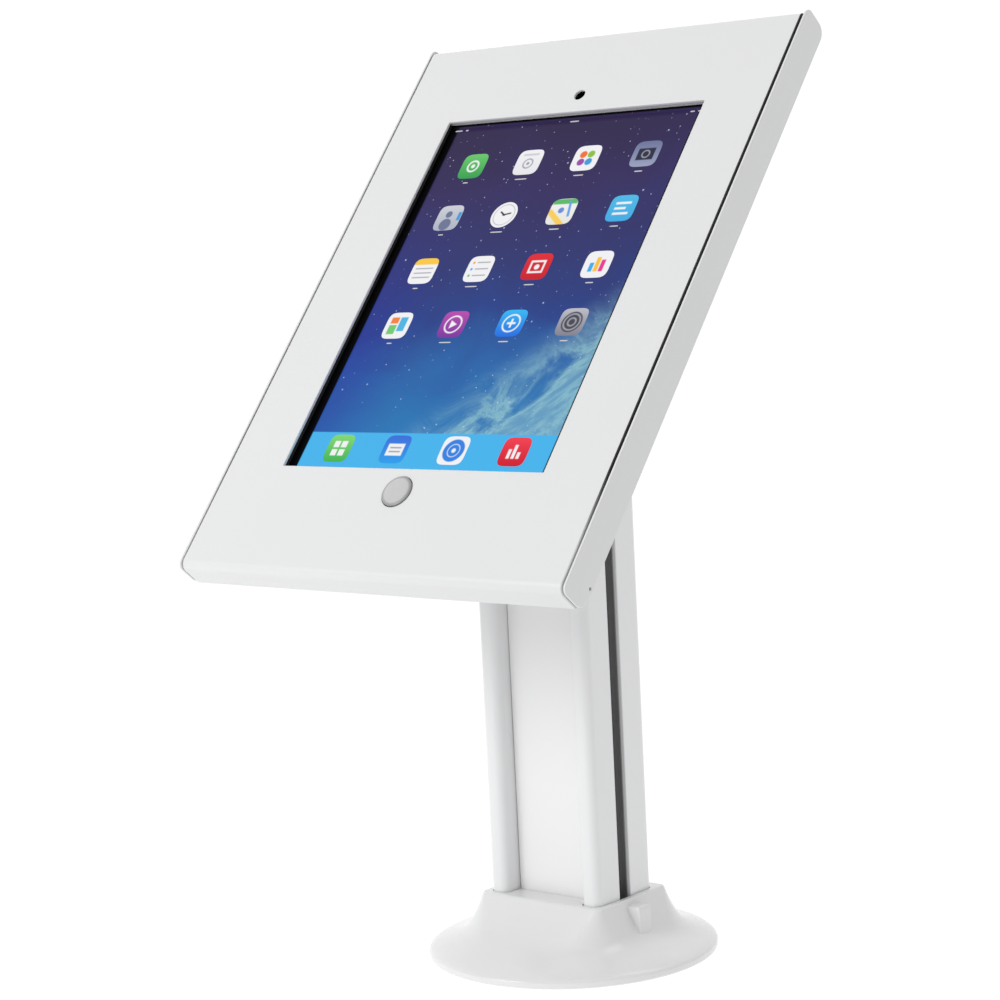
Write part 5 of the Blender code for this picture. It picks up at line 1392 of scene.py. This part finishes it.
def build_base_cover():
    """Rings stacked from rim to collar, the same rings a wall further in, and two ribs."""
    edge = 0.8 * MM
    rim, collar = COVER_RIM / MM, (COVER_HEIGHT - edge) / MM
    heights = np.concatenate([np.linspace(rim, rim + 10.0, 30),
                              np.linspace(rim + 10.6, collar, 22)])
    places, values = zip(*FLARE)
    shares = np.clip(smooth_curve(places, values, heights - rim), 0.0, 1.0)
    turn = np.linspace(math.pi / 2, 0.0, 6)
    foot_edge = 0.9 * MM
    rows = [cover_ring(1.0, foot_edge * (1 - math.cos(t)),
                       COVER_LIFT + foot_edge * (1 - math.sin(t))) for t in turn]
    rows += [cover_ring(share, 0.0, height * MM) for height, share in zip(heights, shares)]
    tail = float(shares[-1])
    rows += [cover_ring(tail * drop / edge, i, COVER_HEIGHT - drop)
             for i, drop in edge_arc(edge, 5)[::-1]]
    shape = Shape(head=False)
    shape.grid(rows)
    opening = anticlockwise(post_outline(COLLAR_PLAY, slots=False), False)
    shape.cap([anticlockwise(rows[-1][:, :2]), opening], COVER_HEIGHT)
    roof = COVER_HEIGHT - COVER_WALL
    inner = [cover_ring(1.0, COVER_WALL, COVER_LIFT)]
    inner += [cover_ring(share, COVER_WALL, height * MM - COVER_WALL)
              for height, share in zip(heights, shares)
              if height * MM - COVER_WALL > COVER_LIFT + 1.0 * MM]
    inner.append(cover_ring(0.0, COVER_WALL, roof))
    shape.grid(inner)
    shape.grid([rows[0], inner[0]])
    shape.cap([anticlockwise(inner[-1][:, :2]), opening], roof)
    shape.grid([at_height(opening, level) for level in (roof, COVER_HEIGHT)])
    mesh = shape.mesh("base_cover_moulding")
    for side in (-1, 1):
        mesh = combine(mesh, cover_boss(side), "UNION", "base_cover_moulding")
    # The foot takes the darker copy of the white plastic: painted shade.
    make_piece(mesh, "base_cover_moulding", "base_cover", ["base_cover"], "white_plastic",
               finish="shaded_foot_plastic")


def carry_over():
    """Every CAD node that is still shown takes the finish of its slot."""
    slots = {}
    for part in frame["record"].get("subparts", []):
        slots[part.get("node")] = part.get("material_slot") or part.get("slot")
    for name, node in frame["nodes"].items():
        if node.hide_render:
            continue
        slot = slots.get(name) or CARRIED.get(name)
        if slot is None:
            raise RuntimeError(f"no finish is known for {name}")
        material = finish_for(slot)
        for place in node.material_slots:
            place.material = material
        if not node.material_slots:
            node.data.materials.append(material)


CARRIED = {
    "button_guide_ring": "black_foam", "panel_hinge_leaf": "zinc", "case_hinge_leaf": "zinc",
    "hinge_pin": "steel", "cam_screw": "zinc", "sleep_button": "tablet_aluminium",
    "volume_up_button": "tablet_aluminium", "volume_down_button": "tablet_aluminium",
    "tablet_battery": "battery", "tablet_circuit_board": "circuit_board",
    "base_plate": "steel", "foot_pad": "rubber", "post_screw_1": "zinc",
    "post_screw_2": "zinc", "post_screw_3": "zinc", "post_screw_4": "zinc",
}


# ---- Stage ------------------------------------------------------------------------------------
CAMERA_PLACE = (0.70947, -0.89321, 0.33013)
CAMERA_TURN = (84.024, 2.815, 39.376)              # degrees about X, Y and Z
AWAY = (-0.62, 0.78, 0.0)                          # level direction from the camera
FLOOR_REACH = 12.0                                 # from the middle to the floor's edge


def add_camera(settings):
    """Camera at a fixed place and turn, with the set focal length."""
    camera = bpy.data.objects.new("camera", bpy.data.cameras.new("camera"))
    camera.data.lens = settings.focal_length
    camera.data.sensor_width = 36.0
    camera.data.clip_start = 0.01
    camera.location = CAMERA_PLACE
    camera.rotation_euler = [math.radians(angle) for angle in CAMERA_TURN]
    bpy.context.scene.collection.objects.link(camera)
    bpy.context.scene.camera = camera


def add_floor():
    """Pale lit floor whose far parts take the tone that the studio has in their direction."""
    corners = np.array(((-1, -1, 0), (1, -1, 0), (1, 1, 0), (-1, 1, 0))) * FLOOR_REACH
    floor = bpy.data.meshes.new("floor")
    floor.from_pydata(corners.tolist(), [], [(0, 1, 2, 3)])
    paper = Finish("pale_floor", (0.15, 0.15, 0.15), 0.9, specular=0.0)
    paper.vary(paper.noise(paper.place(), 3.0, 2.0), 0.01, 0.9, 0.05)
    ahead = paper.along(AWAY)
    aside = paper.along((AWAY[1], -AWAY[0], 0.0))
    distance = (ahead * ahead + aside * aside) ** 0.5
    near = paper.mix(ahead.above(-0.3, 0.15), (0.58, 0.58, 0.58, 1.0), (1.0, 1.0, 1.0, 1.0))
    far = paper.mix((ahead / distance).above(0.425, 0.325), (0.55, 0.55, 0.55, 1.0),
                    (1.02, 1.02, 1.02, 1.0))
    paper.set("Emission Color", paper.mix(distance.above(2.2, 1.6), near, far))
    paper.set("Emission Strength", 0.92)
    floor.materials.append(paper.material)
    ground = bpy.data.objects.new("floor", floor)
    bpy.context.scene.collection.objects.link(ground)


def add_studio(settings):
    """Light from all round, brighter the closer its direction is to the camera's."""
    world = bpy.data.worlds.new("studio")
    world.use_nodes = True
    bpy.context.scene.world = world
    tree = world.node_tree
    background = tree.nodes["Background"]
    where = tree.nodes.new("ShaderNodeTexCoord")
    part = tree.nodes.new("ShaderNodeVectorMath")
    part.operation = "DOT_PRODUCT"
    part.inputs[1].default_value = AWAY
    ramp = tree.nodes.new("ShaderNodeMapRange")
    ramp.interpolation_type = "SMOOTHSTEP"
    tree.links.new(where.outputs["Generated"], part.inputs[0])
    tree.links.new(part.outputs["Value"], ramp.inputs["Value"])
    for name, value in (("From Min", 0.1), ("From Max", 0.75), ("To Min", 0.62),
                        ("To Max", 1.06)):
        ramp.inputs[name].default_value = value
    tree.links.new(ramp.outputs[0], background.inputs["Strength"])
    background.inputs["Color"].default_value = (settings.sky_strength,) * 3 + (1.0,)


def add_lamps(settings):
    """Round soft lamps: (name, place, aim, width, share of the key light's power)."""
    for name, place, aim, size, share in (
            ("key_light", (-0.62, -1.7, 1.04), (0.0, 0.0, 0.2), 1.0, 1.0),
            ("top_light", (0.5, 0.9, 1.9), (0.0, 0.0, 0.3), 0.9, 0.2)):
        light = bpy.data.lights.new(name, "AREA")
        light.shape = "DISK"
        light.size = size
        light.energy = settings.key_power * share
        lamp = bpy.data.objects.new(name, light)
        lamp.location = place
        lamp.rotation_euler = (Vector(aim) - Vector(place)).to_track_quat("-Z", "Y").to_euler()
        lamp.visible_camera = False
        bpy.context.scene.collection.objects.link(lamp)


def build_stage(settings):
    """Camera, floor, light from all round and lamps, shown with plain colours."""
    bpy.context.scene.view_settings.view_transform = "Standard"
    add_camera(settings)
    add_floor()
    add_studio(settings)
    add_lamps(settings)


# ---- Operators ----------------------------------------------------------------------------------
class KIOSK_OT_stage(bpy.types.Operator):
    """Pale floor, soft studio light and the camera"""
    bl_idname = "kiosk.stage"
    bl_label = "Stage"

    def execute(self, context):
        build_stage(context.scene.kiosk)
        return {"FINISHED"}


class KIOSK_OT_front_panel(bpy.types.Operator):
    """Folded front panel with its window, camera hole and button hole"""
    bl_idname = "kiosk.front_panel"
    bl_label = "Front panel"

    def execute(self, context):
        build_front_panel(context.scene.kiosk)
        return {"FINISHED"}


class KIOSK_OT_rear_case(bpy.types.Operator):
    """Folded back and the two side plates"""
    bl_idname = "kiosk.rear_case"
    bl_label = "Rear case"

    def execute(self, context):
        build_rear_case(context.scene.kiosk)
        return {"FINISHED"}


class KIOSK_OT_home_cover(bpy.types.Operator):
    """Domed push cover over the home button"""
    bl_idname = "kiosk.home_cover"
    bl_label = "Home cover"

    def execute(self, context):
        build_home_cover()
        return {"FINISHED"}


class KIOSK_OT_tablet(bpy.types.Operator):
    """Tablet: cover glass, lit shapes, shell, home button and camera lens"""
    bl_idname = "kiosk.tablet"
    bl_label = "Tablet"

    def execute(self, context):
        build_tablet()
        return {"FINISHED"}


class KIOSK_OT_foams(bpy.types.Operator):
    """Foam strips behind the panel"""
    bl_idname = "kiosk.foams"
    bl_label = "Foam strips"

    def execute(self, context):
        build_foams()
        return {"FINISHED"}


class KIOSK_OT_holding_pieces(bpy.types.Operator):
    """Cradle ring and foam pad that hold the tablet"""
    bl_idname = "kiosk.holding_pieces"
    bl_label = "Cradle and pad"

    def execute(self, context):
        build_holding_pieces()
        return {"FINISHED"}


class KIOSK_OT_lock(bpy.types.Operator):
    """Lock barrel, plug, nut, cam and the striker on the panel"""
    bl_idname = "kiosk.lock"
    bl_label = "Lock"

    def execute(self, context):
        build_lock()
        return {"FINISHED"}


class KIOSK_OT_post(bpy.types.Operator):
    """Slotted post and its two strips"""
    bl_idname = "kiosk.post"
    bl_label = "Post"

    def execute(self, context):
        build_post()
        return {"FINISHED"}


class KIOSK_OT_head_bracket(bpy.types.Operator):
    """Bracket plate with its spigot, and the screws that hold it"""
    bl_idname = "kiosk.head_bracket"
    bl_label = "Head bracket"

    def execute(self, context):
        build_head_bracket()
        return {"FINISHED"}


class KIOSK_OT_base_cover(bpy.types.Operator):
    """Flared foot cover"""
    bl_idname = "kiosk.base_cover"
    bl_label = "Foot cover"

    def execute(self, context):
        build_base_cover()
        return {"FINISHED"}


class KIOSK_OT_carry_over(bpy.types.Operator):
    """Finishes on the CAD nodes that stay in view"""
    bl_idname = "kiosk.carry_over"
    bl_label = "Carried-over pieces"

    def execute(self, context):
        carry_over()
        return {"FINISHED"}


OPERATORS = (KIOSK_OT_stage, KIOSK_OT_front_panel, KIOSK_OT_rear_case, KIOSK_OT_home_cover,
             KIOSK_OT_tablet, KIOSK_OT_foams, KIOSK_OT_holding_pieces, KIOSK_OT_lock,
             KIOSK_OT_post, KIOSK_OT_head_bracket, KIOSK_OT_base_cover, KIOSK_OT_carry_over)


class KIOSK_PT_sidebar(bpy.types.Panel):
    """Lists the settings and the steps"""
    bl_idname = "KIOSK_PT_sidebar"
    bl_label = "Tablet kiosk"
    bl_space_type = "VIEW_3D"
    bl_region_type = "UI"
    bl_category = "Kiosk"

    def draw(self, context):
        layout = self.layout
        for name in KioskSettings.__annotations__:
            layout.prop(context.scene.kiosk, name)
        for operator in OPERATORS:
            layout.operator(operator.bl_idname)


CLASSES = (KioskSettings, *OPERATORS, KIOSK_PT_sidebar)


def register():
    for item in CLASSES:
        bpy.utils.register_class(item)
    bpy.types.Scene.kiosk = PointerProperty(type=KioskSettings)


def unregister():
    del bpy.types.Scene.kiosk
    for item in reversed(CLASSES):
        bpy.utils.unregister_class(item)


def main():
    register()
    for operator in OPERATORS:
        family, step = operator.bl_idname.split(".")
        getattr(getattr(bpy.ops, family), step)()


if __name__ == "__main__":
    main()
